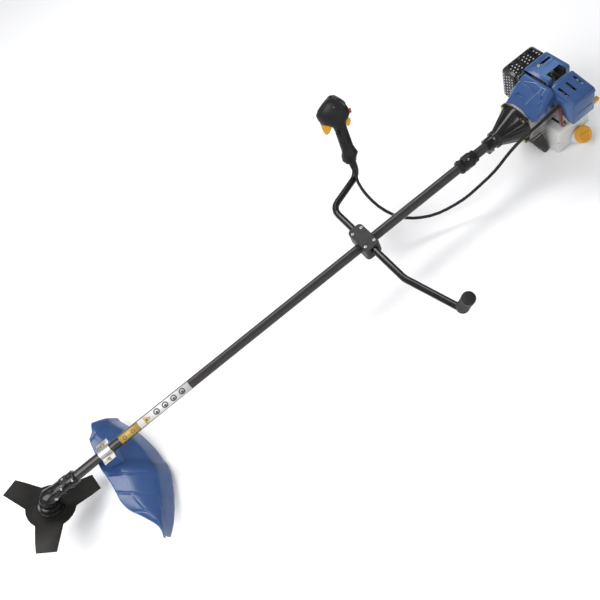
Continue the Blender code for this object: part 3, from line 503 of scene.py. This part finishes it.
def make_room(scene):
    """A pale sky that is brighter overhead, and three softboxes."""
    world = bpy.data.worlds.new("soft room")
    scene.world = world
    world.use_nodes = True
    tree = world.node_tree
    background = tree.nodes["Background"]
    height = tree.nodes.new("ShaderNodeSeparateXYZ")
    tree.links.new(tree.nodes.new("ShaderNodeTexCoord").outputs["Generated"], height.inputs["Vector"])
    ramp = tree.nodes.new("ShaderNodeValToRGB")
    stops = ((0.0, (0.75, 0.76, 0.78, 1)), (0.85, (0.95, 0.96, 1.0, 1)))
    for element, (position, colour) in zip(ramp.color_ramp.elements, stops):
        element.position = position
        element.color = colour
    tree.links.new(height.outputs["Z"], ramp.inputs["Fac"])
    tree.links.new(ramp.outputs["Color"], background.inputs["Color"])
    background.inputs["Strength"].default_value = 0.40

    lights = (
        # name, place, aim, width, height, watts
        ("key softbox", (-1.7, -0.5, 2.4), (0, 0, 0), 2.2, 1.6, 70),
        ("side strip", (0.2, -2.4, 1.0), (0, 0, 0.05), 3.4, 0.25, 16),
        ("top softbox", (0.3, 1.7, 2.5), (0, 0, 0), 2.6, 0.7, 48),
    )
    for name, place, aim, width, high, watts in lights:
        lamp = bpy.data.lights.new(name, "AREA")
        lamp.shape = "RECTANGLE"
        lamp.size, lamp.size_y = width, high
        lamp.energy = watts
        obj = bpy.data.objects.new(name, lamp)
        scene.collection.objects.link(obj)
        obj.location = place
        obj.rotation_euler = (Vector(aim) - Vector(place)).to_track_quat("-Z", "Y").to_euler()


def make_floor(scene):
    """A plain pale floor just under the machine."""
    bm = bmesh.new()
    bmesh.ops.create_grid(bm, x_segments=1, y_segments=1, size=FLOOR_HALF_SIZE)
    mesh = mesh_of(bm, "floor")
    floor = bpy.data.objects.new("floor", mesh)
    scene.collection.objects.link(floor)
    floor.location.z = -FLOOR_GAP
    pale = bpy.data.materials.new("pale floor")
    pale.use_nodes = True
    shader = pale.node_tree.nodes["Principled BSDF"]
    shader.inputs["Base Color"].default_value = (0.93, 0.93, 0.93, 1)
    shader.inputs["Roughness"].default_value = 0.9
    shader.inputs["Specular IOR Level"].default_value = 0.1
    mesh.materials.append(pale)


def make_cable():
    """The throttle cable, as one cord from the right control to the carburettor."""
    cable, path = tube_along("throttle_cable_sheath", CABLE_ROUTE, CABLE_RADIUS, "rubber",
                             spacing=5 * CABLE_RADIUS)
    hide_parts("throttle_cable")


# ---- the shaft and the cutting head ----

def wrapped(bm, points, radius):
    """Points given as (along the tube, around it) turned onto its surface, facing up and to the left."""
    made = []
    for x, around in points:
        angle = LABEL_FACING + around / radius
        made.append(bm.verts.new((x, radius * math.cos(angle), radius * math.sin(angle))))
    return made


def label_patch(name, start, end, look):
    """Film on the tube, as one band of narrow strips between two places along it."""
    bm = bmesh.new()
    strips = 16
    around = [LABEL_HALF_WIDTH * (2 * k / strips - 1) for k in range(strips + 1)]
    rows = [wrapped(bm, [(x, offset) for offset in around], TUBE_RADIUS + LABEL_LIFT) for x in (start, end)]
    for index in range(strips):
        bm.faces.new((rows[0][index], rows[0][index + 1], rows[1][index + 1], rows[1][index]))
    solid = finished(name, bm, look).modifiers.new("film", "SOLIDIFY")
    solid.thickness = 0.0001
    solid.offset = -1


def label_mark(name, x, around, sizes, look="dark_print", lift=MARK_LIFT, sides=0):
    """A flat mark on the label, in concentric steps so that it bends with the tube. Sides gives it corners.

    Sizes are the steps' radii.
    """
    bm = bmesh.new()
    radius = TUBE_RADIUS + lift
    angles = [2 * math.pi * index / MARK_POINTS for index in range(MARK_POINTS)]

    def reach(angle):
        if not sides:
            return 1
        sector = 2 * math.pi / sides
        return math.cos(sector / 2) / math.cos(angle % sector - sector / 2)

    rims = []
    for size in sizes:
        points = [(x + size * reach(a) * math.cos(a), around + size * reach(a) * math.sin(a)) for a in angles]
        rims.append(wrapped(bm, points, radius))
    for first, second in zip(rims, rims[1:]):
        bridge(bm, first, second)
    finished(name, bm, look)


def make_shaft():
    """The tube with its label, and the harness collar. The label has plain marks and no lettering."""
    skin("shaft_tube")
    label_patch("shaft_label_white", LABEL_JOIN, WHITE_END, "white_label")
    label_patch("shaft_label_yellow", YELLOW_START, LABEL_JOIN, "yellow_label")
    for number, x in enumerate((-0.690, -0.663, -0.636, -0.609), 1):
        label_mark(f"label_ring_{number}", x, 0.0, (0.0086, 0.0068, 0.0052))
        label_mark(f"label_dot_{number}", x, 0.0015, (0.0034, 0.0018, 0.0003))
    label_mark("label_triangle", -0.722, 0.0, (0.0130, 0.0100, 0.0070, 0.0040, 0.0005), "yellow_label",
               sides=3)
    label_mark("label_triangle_dot", -0.7225, 0.0, (0.0026, 0.0012, 0.0003), lift=0.0006)
    for number, x in enumerate((-0.792, -0.766), 1):
        label_mark(f"label_small_ring_{number}", x, 0.0015, (0.0052, 0.0034))
    border, line_half = 0.0106, 0.0005
    for number, around in enumerate((-border, border), 1):
        bm = bmesh.new()
        edges = (around - line_half, around + line_half)
        rows = [wrapped(bm, [(x, edge) for edge in edges], TUBE_RADIUS + MARK_LIFT)
                for x in (YELLOW_START + 0.002, LABEL_JOIN - 0.002)]
        bm.faces.new((rows[0][0], rows[0][1], rows[1][1], rows[1][0]))
        finished(f"label_border_{number}", bm, "dark_print")
    skin("hanger_collar", 0.0008)
    places = ((0.3380, -0.0083, 0.0188), (0.3410, -0.0048, -0.0230))
    screws("collar_screws", [(place, (0, -1, 0)) for place in places], 0.0030, "zinc")


def make_head():
    """The gear case, and the blade with the pieces that clamp it."""
    skins({"gear_case": 0.0010, "blade_adapter": 0.0006, "outer_flange": 0.0006, "blade_nut": 0.0006,
           "output_spindle": 0.0006, "blade": 0.0004})
    screws("gear_case_screws", [((-0.9720, 0, 0.0265), (0, 0, 1)),
                                ((-0.9560, -0.0130, 0.0140), (0, -0.68, 0.73)),
                                ((-0.9900, -0.0120, 0.0135), (0, -0.66, 0.75))], 0.0030, "zinc")
    screws("grease_plug", [((-1.0160, -0.0200, 0.0040), (0, -1, 0.1))], 0.0042, "zinc", recess="hex")
    rings("gear_case_ribs", ((0, 0.0180), (0.0004, 0.0200), (0.0020, 0.0200), (0.0024, 0.0180)),
          [(x, 0, 0) for x in (-1.0040, -0.9985, -0.9930, -0.9690)], (1, 0, 0), "black_paint")
    lathe("adapter_steps", ((-0.0296, 0.0150), (-0.0296, 0.0232), (-0.0318, 0.0240), (-0.0330, 0.0200)),
          (0, 0, 0), (0, 0, 1), "black_paint", "cutter", HEAD)
    first_hole, hole_circle, blade_top = 65.8, 0.044, -0.0409
    angles = [math.radians(first_hole + 120 * k) for k in range(3)]
    holes = [((hole_circle * math.cos(a), hole_circle * math.sin(a), blade_top), (0, 0, 1)) for a in angles]
    screws("blade_marks", holes, 0.0016, "blade_steel", "cutter", HEAD, height=0.3)


# ---- the guard ----

GUARD_POINT = Vector((-0.870, 0, -0.0340))
GUARD_SLOPE = math.tan(math.radians(30))
GUARD_LIP, GUARD_FLARE, GUARD_WALL = 0.042, 0.018, 0.0026
GUARD_STATIONS = (
    # front edge x, y, then the lip's lower edge x, y
    (-0.8720, 0.0910, -0.8625, 0.1480),
    (-0.8850, 0.0800, -0.8215, 0.1380),
    (-0.8870, 0.0640, -0.8155, 0.1190),
    (-0.8880, 0.0420, -0.7945, 0.0700),
    (-0.8920, -0.0100, -0.7775, -0.0040),
    (-0.8890, -0.0450, -0.7740, -0.0480),
    (-0.8870, -0.0660, -0.7715, -0.0640),
    (-0.8865, -0.1000, -0.7755, -0.0930),
    (-0.8860, -0.1270, -0.7825, -0.1190),
    (-0.8790, -0.1560, -0.7885, -0.1410),
    (-0.8630, -0.1840, -0.7985, -0.1680),
    (-0.8450, -0.2200, -0.8085, -0.1920),
    (-0.8400, -0.2400, -0.8250, -0.2250),
    (-0.8410, -0.2650, -0.8430, -0.2510),
)


def guard_height(x):
    """The height of the guard's sloping plane, before its crown."""
    return GUARD_POINT.z - (x - GUARD_POINT.x) * GUARD_SLOPE


def eased(value, start, end):
    """0 before start, 1 after end, and a smooth step between them."""
    share = min(max((value - start) / (end - start), 0), 1)
    return share * share * (3 - 2 * share)


GUARD_CREASES = (
    # y at the front edge, and how far the crease has moved by the rear edge
    (0.0740, 0.0300),
    (-0.0400, -0.0500),
    (-0.0980, -0.0620),
    (-0.1650, -0.0450),
)


def guard_relief(share, row_y):
    """The moulded relief: a raised rear panel, and creases that run across it."""
    panel_rise, crease_depth, crease_width = 0.0016, 0.0013, 0.0024
    relief = panel_rise * eased(share, 0.30, 0.36) * (1 - eased(share, 0.90, 0.97))
    for start, drift in GUARD_CREASES:
        relief -= crease_depth * math.exp(-((row_y - start - drift * share) / crease_width) ** 2)
    return relief


def station_rows(stations, count):
    """Rows between the stations on a curve whose slopes are held down, so that it can't overshoot."""
    lengths = [math.dist(a, b) for a, b in zip(stations, stations[1:])]
    slopes = []
    for index in range(len(stations)):
        before = stations[max(index - 1, 0)]
        after = stations[min(index + 1, len(stations) - 1)]
        span = lengths[max(index - 1, 0)] + lengths[min(index, len(lengths) - 1)]
        slopes.append([(b - a) / span for a, b in zip(before, after)])
    rows = []
    for index, (first, last) in enumerate(zip(stations, stations[1:])):
        reach = lengths[index]
        for step in range(count + (index == len(lengths) - 1)):
            t = step / count
            h00, h10 = 2 * t ** 3 - 3 * t * t + 1, t ** 3 - 2 * t * t + t
            h01, h11 = 3 * t * t - 2 * t ** 3, t ** 3 - t * t
            rows.append([h00 * a + h10 * reach * m + h01 * b + h11 * reach * n
                         for a, b, m, n in zip(first, last, slopes[index], slopes[index + 1])])
    return rows


def make_guard():
    """The guard's moulding with its flared rear lip, and its saddle, strap and screws."""
    bm = bmesh.new()
    made = []
    across_steps, lip_steps, rows_per_station = 40, 7, 9
    shares = [k / across_steps for k in range(across_steps + 1)]
    drops = [k / lip_steps for k in range(1, lip_steps + 1)]
    for front_x, front_y, lip_x, lip_y in station_rows(GUARD_STATIONS, rows_per_station):
        reach = Vector((lip_x - front_x, lip_y - front_y))
        flare = min(GUARD_FLARE, reach.length / 2)
        rear_x, rear_y = Vector((lip_x, lip_y)) - reach.normalized() * flare
        row = []
        for share in shares:
            x = front_x + (rear_x - front_x) * share
            y = front_y + (rear_y - front_y) * share
            crown = 0.0175 * share * (1 - share) - 0.002 * share * share - 0.004 * share
            row.append(bm.verts.new((x, y, guard_height(x) + crown + guard_relief(share, y))))
        top_z = guard_height(rear_x) - 0.006
        low_z = guard_height(lip_x) - GUARD_LIP
        for drop in drops:
            out = drop ** 0.8
            row.append(bm.verts.new((rear_x + (lip_x - rear_x) * out, rear_y + (lip_y - rear_y) * out,
                                     top_z + (low_z - top_z) * drop)))
        made.append(row)
    for first, second in zip(made, made[1:]):
        for index in range(len(first) - 1):
            bm.faces.new((first[index], first[index + 1], second[index + 1], second[index]))
    guard = finished("guard_moulding", bm, "blue_plastic", sharp=60)
    solid = guard.modifiers.new("wall", "SOLIDIFY")
    solid.thickness = GUARD_WALL
    solid.offset = 0
    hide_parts("guard_shell")
    skins({"guard_saddle": 0.0012, "guard_strap": 0.0004})
    places = [((STRAP_SCREWS_X, y, 0.0016), (0, 0, 1)) for y in (-STRAP_SCREWS_Y, STRAP_SCREWS_Y)]
    screws("guard_screws", places, 0.0044, "brass", recess="cross")


# ---- handlebar, grips and controls ----

def grip_profile():
    """The left grip's turned outline, with a waist and shallow grooves."""
    ribs, steps = 26, 4
    start, length = 0.0155, 0.1080
    waist_start, waist_length = 0.030, 0.082
    profile = [(0.0150, 0.0105)]
    for index in range(ribs * steps + 1):
        height = start + length * (index / (ribs * steps))
        waist = math.sin(math.pi * min(max((height - waist_start) / waist_length, 0), 1))
        in_waist = waist_start < height < waist_start + waist_length
        groove = 0.0005 * (1 - math.cos(2 * math.pi * index / steps)) / 2 if in_waist else 0
        collar = 0.0020 * (1 - eased(height, 0.015, 0.020))
        profile.append((height, 0.0160 - 0.0009 * waist - groove - collar))
    return profile + [(0.1262, 0.0148), (0.1284, 0.0120), (0.1297, 0.0070), (0.1299, 0.0010)]


def make_handle():
    """The handlebar with its clamp and left grip."""
    skin("handlebar")
    skins({"handle_clamp_cap": 0.0016, "handle_clamp_middle": 0.0016, "handle_clamp_lower": 0.0016},
          segments=3)
    places = [(BAR_X + x, CLAMP_Y + y) for x, y in mirrored(CLAMP_SCREWS_X, CLAMP_SCREWS_Y)]
    screws("clamp_screws", [((x, y, CLAMP_TOP), (0, 0, 1)) for x, y in places], 0.0040, "zinc", height=0.35)
    # Small black discs in the screw heads' sockets are painted shade.
    shade_disc_z = CLAMP_TOP + 0.0012
    screws("clamp_socket_shade", [((x, y, shade_disc_z), (0, 0, 1)) for x, y in places], 0.0020, "black_plastic",
           height=0.2)
    grip = lathe("left_grip_ribbed", grip_profile(), (0, 0, 0), (0, 0, 1), "rubber", "machine", LEFT_GRIP)
    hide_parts("left_grip")


def make_control():
    """The right control handle, its triggers and its cable boot."""
    skins({"control_housing_inner": 0.0007, "control_housing_outer": 0.0007, "throttle_trigger": 0.0012,
           "lockout_lever": 0.0010, "stop_switch": 0.0008, "throttle_lock_button": 0.0007})
    for label, side in (("left", -1), ("right", 1)):
        places = [((-0.0190, side * 0.0215, 0.1780), (0, side, 0)),
                  ((0.0010, side * 0.0172, 0.0560), (0, side, 0)),
                  ((0.0040, side * 0.0185, 0.2020), (0, side, 0.2))]
        screws("control_screws_" + label, places, 0.0024, "black_paint", where=CONTROL, recess="cross")
    bm = bmesh.new()
    brow = ((-0.0230, 0.2060), (-0.0180, 0.2190), (-0.0060, 0.2262), (0.0080, 0.2240), (0.0190, 0.2130),
            (0.0280, 0.2015), (0.0310, 0.1935), (0.0230, 0.1895), (0.0000, 0.1950))
    prism_into(bm, brow, 0.0320, (0, 0.0160, 0), (1, 0, 0), (0, 0, 1))
    soften(finished("control_brow", bm, "black_plastic", where=CONTROL, sharp=20), 0.0016, 3)
    boxes("control_nub", [((-0.0030, -0.0040, 0.2200), (0.0045, 0.0040, 0.2290))], "black_plastic", CONTROL,
          0.0016)
    boxes("control_seam", [((-0.0190, -0.0003, 0.0800), (-0.0184, 0.0003, 0.1300))], "black_plastic", CONTROL,
          0.0001)
    rings("control_grip_rings", ((0, 0.0155), (0.0003, 0.0162), (0.0012, 0.0162), (0.0015, 0.0155)),
          [(0, 0, 0.074 + 0.0062 * k) for k in range(8)], (0, 0, 1), "rubber", CONTROL)
    cable_way = (Vector(CABLE_ROUTE[1]) - Vector(CABLE_ROUTE[0])).normalized()
    boot = ((-0.0060, 0.0040), (-0.0058, 0.0066), (0.0060, 0.0062), (0.0150, 0.0048), (0.0152, 0.0040))
    lathe("cable_boot", boot, Vector(CABLE_ROUTE[0]), cable_way, "rubber")


# ---- the engine ----

MUFFLER_LOW, MUFFLER_HIGH = (0.5600, 0.0505, -0.0120), (0.6680, 0.1060, 0.0870)
HOLE_PITCH, HOLE_RADIUS, HOLE_MARGIN = 0.0098, 0.0029, 0.0110


def hole_stations(start, end):
    """Places one pitch apart in the middle of a span, clear of its ends."""
    count = int((end - start - 2 * HOLE_MARGIN) / HOLE_PITCH)
    spare = (end - start - count * HOLE_PITCH) / 2
    return [start + spare + k * HOLE_PITCH for k in range(count + 1)]


def staggered(row, v):
    """Where a hole stands in its row. Every second row is shifted by half a pitch."""
    return v + (HOLE_PITCH / 2 if row % 2 else 0) - HOLE_PITCH / 4


def hole_cutter(name, axis, first, second, span):
    """Round bars along an axis, at each first and second place of the other two axes."""
    bm = bmesh.new()
    way = [int(k == axis) for k in range(3)]
    others = [k for k in range(3) if k != axis]
    for row, u in enumerate(first):
        for v in second:
            point = [span[0]] * 3
            point[others[0]] = u
            point[others[1]] = staggered(row, v)
            lathe_into(bm, ((0, HOLE_RADIUS), (span[1] - span[0], HOLE_RADIUS)), point, way, 10)
    outward(bm, MACHINE)
    tool = bpy.data.objects.new(name, mesh_of(bm, name))
    bpy.context.scene.collection.objects.link(tool)
    return tool


def perforated_guard():
    """The muffler's guard with rows of round holes on its top, ends and side, and pale discs in them that
    paint the light seen through the holes.
    """
    obj = skin("muffler_guard", 0.0)
    (low_x, low_y, low_z), (high_x, high_y, high_z) = MUFFLER_LOW, MUFFLER_HIGH
    xs = hole_stations(low_x, high_x)
    ys = hole_stations(low_y + 0.004, high_y)
    zs = hole_stations(low_z, high_z)
    tools = [hole_cutter("top holes", 2, xs, ys, (0.080, 0.095)),
             hole_cutter("end holes", 0, ys, zs, (0.55, 0.68)),
             hole_cutter("side holes", 1, xs, zs, (0.100, 0.112))]
    for tool in tools:
        cut = obj.modifiers.new(tool.name, "BOOLEAN")
        cut.operation = "DIFFERENCE"
        cut.solver = "EXACT"
        cut.object = tool
    bpy.context.view_layer.update()
    result = bpy.data.meshes.new_from_object(obj.evaluated_get(bpy.context.evaluated_depsgraph_get()))
    obj.modifiers.clear()
    obj.data = result
    result.set_sharp_from_angle(angle=math.radians(SHARP_DEGREES))
    for tool in tools:
        bpy.data.objects.remove(tool, do_unlink=True)

    # Pale discs just inside the holes are painted light: they stand for the brightly lit muffler seen through
    # them.
    disc_depth, last_disc_y = 0.0006, 0.092
    bm = bmesh.new()
    for row, y in enumerate(ys):
        for z in zs:
            disc = ((0, 0.0021), (disc_depth, 0.0021))
            lathe_into(bm, disc, (low_x + 0.0003, y, staggered(row, z)), (1, 0, 0), 10)
    for row, x in enumerate(xs):
        for y in ys:
            if row % 4 != 3 and y < last_disc_y:
                disc = ((0, 0.0018), (disc_depth, 0.0018))
                lathe_into(bm, disc, (x, staggered(row, y), high_z - 0.0008), (0, 0, 1), 10)
    finished("muffler_hole_painted_light", bm, "tank_plastic")


def make_clutch():
    """The clutch housing with its ribs, rings and screws."""
    skin("clutch_housing", 0.0008)
    places = [((0.5002, y, z), (-1, 0, 0)) for y, z in mirrored(0.037, 0.037)]
    screws("flange_screws", places, 0.0044, "brass")
    bm = bmesh.new()
    ribs, rib_width = 6, 0.0022
    outline = ((0.4430, 0.0200), (0.4430, 0.0242), (0.4700, 0.0372), (0.4960, 0.0494), (0.4990, 0.0494),
               (0.4990, 0.0440), (0.4700, 0.0320))
    for index in range(ribs):
        angle = 2 * math.pi * (index + 0.75) / ribs
        out = Vector((0, math.cos(angle), math.sin(angle)))
        side = out.cross(Vector((1, 0, 0)))
        prism_into(bm, outline, rib_width, side * (rib_width / 2), (1, 0, 0), out)
    soften(finished("clutch_housing_ribs", bm, "black_paint"), 0.0005)
    rings("clutch_housing_rings", ((0, 0.0210), (0.0004, 0.0236), (0.0024, 0.0238), (0.0028, 0.0210)),
          [(x, 0, 0) for x in (0.4285, 0.4330, 0.4375)], (1, 0, 0), "black_paint")
    screws("housing_clamp_screw", [((0.4150, -0.0076, -0.0235), (0, -1, 0))], 0.0034, "zinc")


COWL_SLOPE = 0.815
COWL_POINT = Vector((0.5588, 0, 0.0893))
FILTER_SLOPE = 0.1948
FILTER_POINT = Vector((0.6150, -0.1270, 0.0880))


def facet_into(bm, outline, height, point, slope_x=0.0, slope_y=0.0, shrink=0.12, sink=0.0012):
    """A raised panel with sloping edges on a tilted plane. The outline is in machine x and y."""
    normal = Vector((-slope_x, -slope_y, 1)).normalized()
    middle = sum((Vector((x, y, 0)) for x, y in outline), Vector()) / len(outline)

    def on_plane(place, lift):
        z = point.z + (place.x - point.x) * slope_x + (place.y - point.y) * slope_y
        return Vector((place.x, place.y, z)) + normal * lift

    low, top = [], []
    for x, y in outline:
        place = Vector((x, y, 0))
        low.append(bm.verts.new(on_plane(place, -sink)))
        top.append(bm.verts.new(on_plane(place.lerp(middle, shrink), height)))
    bridge(bm, low, top)
    bm.faces.new(low[::-1])
    bm.faces.new(top)


COWL_PANELS = (
    # outline in x and y, rise, and how far its top edge is drawn in
    (((0.5600, 0.0300), (0.5600, -0.0200), (0.5565, -0.0290), (0.5290, -0.0180), (0.5390, -0.0120),
      (0.5390, 0.0190), (0.5300, 0.0250), (0.5320, 0.0380)), 0.0040, 0.16),
    (((0.5560, -0.0340), (0.5650, -0.0440), (0.5560, -0.0450), (0.5470, -0.0560), (0.5320, -0.0500),
      (0.5300, -0.0240)), 0.0036, 0.2),
    (((0.5660, -0.0480), (0.5580, -0.0500), (0.5520, -0.0590), (0.5640, -0.0560)), 0.0016, 0.25),
    (((0.5350, 0.0150), (0.5290, 0.0090), (0.5330, -0.0060), (0.5370, -0.0080)), 0.0010, 0.2),
)
# Lines along the cowl's facet edges, drawn as thin lighter tubes that are painted highlights.
COWL_HIGHLIGHT_LINES = (
    ((0.5676, -0.0330), (0.5590, -0.0318), (0.5430, -0.0250), (0.5265, -0.0180)),
    ((0.5590, -0.0318), (0.5520, -0.0450), (0.5470, -0.0565)),
    ((0.5680, -0.0445), (0.5560, -0.0452)),
    ((0.5610, 0.0210), (0.5690, -0.0090), (0.5680, -0.0300), (0.5700, -0.0480)),
    ((0.5590, 0.0310), (0.5440, 0.0370), (0.5300, 0.0400)),
)
FILTER_RIM, FILTER_RIM_WIDTH = 0.0035, 0.0014
FILTER_LEFT, FILTER_RIGHT, FILTER_FRONT, FILTER_BACK = 0.5800, 0.6520, -0.1270, -0.0560


def make_covers():
    """The blue cowl and covers, with the relief that is moulded on them and lighter tubes that paint
    highlights along the cowl's edges.
    """
    skins({"front_cowl": 0.0020, "top_cover": 0.0010, "air_filter_cover": 0.0010}, segments=3)
    bm = bmesh.new()
    for outline, rise, shrink in COWL_PANELS:
        facet_into(bm, outline, rise, COWL_POINT, COWL_SLOPE, shrink=shrink)
    soften(finished("cowl_panels", bm, "blue_plastic", sharp=20), 0.0006)
    # Thin light-blue tubes on the facet edges paint the bright highlights of their bevels.
    edge_rise, edge_radius = 0.0004, 0.0011
    for number, line in enumerate(COWL_HIGHLIGHT_LINES, 1):
        points = [(x, y, COWL_POINT.z + (x - COWL_POINT.x) * COWL_SLOPE + edge_rise) for x, y in line]
        tube_along(f"cowl_highlight_line_{number}", points, edge_radius, "painted_highlight_blue")
    boxes("cowl_foot_rim", [((0.5106, -0.0620, 0.0400), (0.5126, -0.0520, 0.0480))], "blue_plastic")

    bm = bmesh.new()
    low_x, high_x = FILTER_LEFT + FILTER_RIM, FILTER_RIGHT - FILTER_RIM
    low_y, high_y = FILTER_FRONT + FILTER_RIM, FILTER_BACK
    width = FILTER_RIM_WIDTH
    for outline in (((low_x, low_y), (high_x, low_y), (high_x, low_y + width), (low_x, low_y + width)),
                    ((low_x, low_y), (low_x + width, low_y), (low_x + width, high_y), (low_x, high_y)),
                    ((high_x - width, low_y), (high_x, low_y), (high_x, high_y), (high_x - width, high_y))):
        facet_into(bm, outline, 0.0009, FILTER_POINT, 0, FILTER_SLOPE, shrink=0.03, sink=0.0006)
    soften(finished("filter_top_rim", bm, "blue_plastic"), 0.0003)
    boxes("filter_side_ledges", [((0.5812, -0.1286, 0.0780), (0.6508, -0.1262, 0.0812)),
                                 ((0.5900, -0.1282, 0.0420), (0.6420, -0.1262, 0.0440)),
                                 ((0.5785, -0.1240, 0.0770), (0.5806, -0.0600, 0.0800))], "blue_plastic",
          bevel=0.0009)
    boxes("filter_slot_floor", [((0.6350, -0.1015, 0.0885), (0.6440, -0.0665, 0.0905))], "blue_plastic",
          bevel=0.0003)
    screws("filter_screws", [((0.6395, -0.0790, 0.0925), (0, -0.19, 1)),
                             ((0.6395, -0.0950, 0.0905), (0, -0.19, 1)),
                             ((0.5895, -0.0935, 0.0880), (0, -0.19, 1))], 0.0033, "zinc", recess="cross")
    screws("cover_screw", [((0.6120, 0.0211, 0.1040), (0, 0, 1))], 0.0046, "zinc", recess="cross")
    boxes("cover_ridges", [((0.6150, y, 0.1040), (0.6560, y + 0.0022, 0.1064)) for y in (0.0060, 0.0330)],
          "blue_plastic", bevel=0.0010)
    boxes("cylinder_shroud", [((0.6420, -0.0330, 0.0740), (0.6500, 0.0400, 0.0990))], "black_plastic")


def make_engine():
    """The engine's castings, its small parts, and the ribs and screws on them."""
    skins({"fan_case": 0.0010, "crankcase": 0.0016, "cylinder": 0.0005, "spark_plug": 0.0004,
           "spark_plug_boot": 0.0006, "carburettor": 0.0006, "carb_insulator": 0.0006,
           "recoil_housing": 0.0012, "starter_handle": 0.0016, "engine_stand": 0.0, "air_filter_base": 0.0005,
           "choke_lever": 0.0, "primer_bulb": 0.0, "throttle_cam": 0.0004, "fuel_hose_1": 0.0,
           "fuel_hose_2": 0.0})
    skin("muffler", 0.0012, "steel")
    perforated_guard()
    screws("muffler_guard_screws", [((x, 0.0780, 0.0868), (0, 0, 1)) for x in (0.5720, 0.6560)], 0.0030,
           "black_paint")
    places = [((x, -0.0342, z), (0, -1, 0)) for x in (0.5680, 0.6260) for z in (-0.0340, 0.0240)]
    screws("crankcase_screws", places, 0.0036, "zinc")
    side_ribs = [((0.5740, -0.0362, z), (0.6200, -0.0335, z + 0.0026)) for z in (-0.0300, -0.0200, -0.0100)]
    foot_ribs = [((0.5630, y - 0.0012, -0.0424), (0.6320, y + 0.0012, -0.0395))
                 for y in (-0.0300, -0.0150, 0, 0.0150, 0.0300)]
    boxes("crankcase_ribs", side_ribs + foot_ribs, "cast_aluminium", bevel=0.0005)
    heights = [-0.0380 + 0.0110 * index for index in range(7)]
    boxes("fan_case_ribs", [((0.5130, -0.0545, z), (0.5570, -0.0525, z + 0.0030)) for z in heights],
          "cast_aluminium", bevel=0.0005)
    tube_along("plug_lead", ((0.6090, -0.0120, 0.0985), (0.6020, -0.0190, 0.0990), (0.5900, -0.0240, 0.0930),
                             (0.5790, -0.0260, 0.0820), (0.5740, -0.0270, 0.0700)), 0.0032, "rubber")
    places = [((x, y, 0.0600), (0, 0, 1)) for x in (0.5860, 0.6100) for y in (-0.0780, -0.0540)]
    screws("carburettor_screws", places, 0.0020, "brass", recess="cross")
    coil_x, coil_z, coil_radius, advance = 0.6200, 0.0470, 0.0026, 0.00032
    turns = [k * 0.6 for k in range(60)]
    spring = [(coil_x + coil_radius * math.cos(t), -0.0655 + advance * t, coil_z + coil_radius * math.sin(t))
              for t in turns]
    tube_along("throttle_spring", spring, 0.00045, "zinc", spacing=0.002)
    screw_circle = 0.030
    angles = [math.radians(45 + 90 * k) for k in range(4)]
    places = [((0.6845, screw_circle * math.cos(a), screw_circle * math.sin(a)), (1, 0, 0)) for a in angles]
    screws("starter_screws", places, 0.0030, "zinc")
    rings("starter_rings", ((0, 0.0470), (0.0005, 0.0486), (0.0025, 0.0486), (0.0030, 0.0470)),
          [(x, 0, 0) for x in (0.6400, 0.6470, 0.6540, 0.6610)], (1, 0, 0), "black_plastic", count=48)


def make_tank():
    """The fuel tank with its seam and strap, and the knurled cap."""
    skin("fuel_tank", 0.0)
    boxes("tank_seam", [((0.5792, -0.0778, -0.0985), (0.6880, 0.0628, -0.0965))], "tank_plastic",
          bevel=0.0007)
    boxes("tank_strap", [((0.6050, -0.0680, -0.0552), (0.6105, -0.0020, -0.0530)),
                         ((0.6050, -0.0700, -0.0552), (0.6105, -0.0680, -0.0330))], "black_plastic")
    knurls, knurl_depth = 22, 0.022

    def lobes(angle, step):
        return 1 + (knurl_depth * math.cos(knurls * angle) if 2 <= step <= 4 else 0)

    profile = ((0.0205, 0.0150), (0.0313, 0.0160), (0.0315, 0.0234), (0.0372, 0.0234), (0.0425, 0.0234),
               (0.0438, 0.0222), (0.0440, 0.0172), (0.0428, 0.0160), (0.0426, 0.0020))
    cap = lathe("fuel_cap_knurled", profile, (0, 0, 0), (0, 0, 1), "orange_plastic", "tank_cap", NECK,
                count=6 * knurls, lobes=lobes)
    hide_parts("fuel_cap")
    bm = bmesh.new()
    prism_into(bm, ((-0.0150, -0.0026), (0.0150, -0.0026), (0.0150, 0.0026), (-0.0150, 0.0026)), 0.0024,
               (0, 0, 0.0424), (1, 0, 0), (0, 1, 0))
    soften(finished("fuel_cap_bar", bm, "orange_plastic", "tank_cap", NECK), 0.0010)


def dress_the_rest():
    """Every CAD node that is still shown takes its slot's material."""
    for name, obj in nodes.items():
        if not obj.hide_render:
            for material_slot in obj.material_slots:
                material_slot.material = LOOKS[SLOT_OF[name]]


make_camera(bpy.context.scene)
make_room(bpy.context.scene)
make_floor(bpy.context.scene)
make_cable()
make_shaft()
make_head()
make_guard()
make_handle()
make_control()
make_clutch()
make_covers()
make_engine()
make_tank()
dress_the_rest()
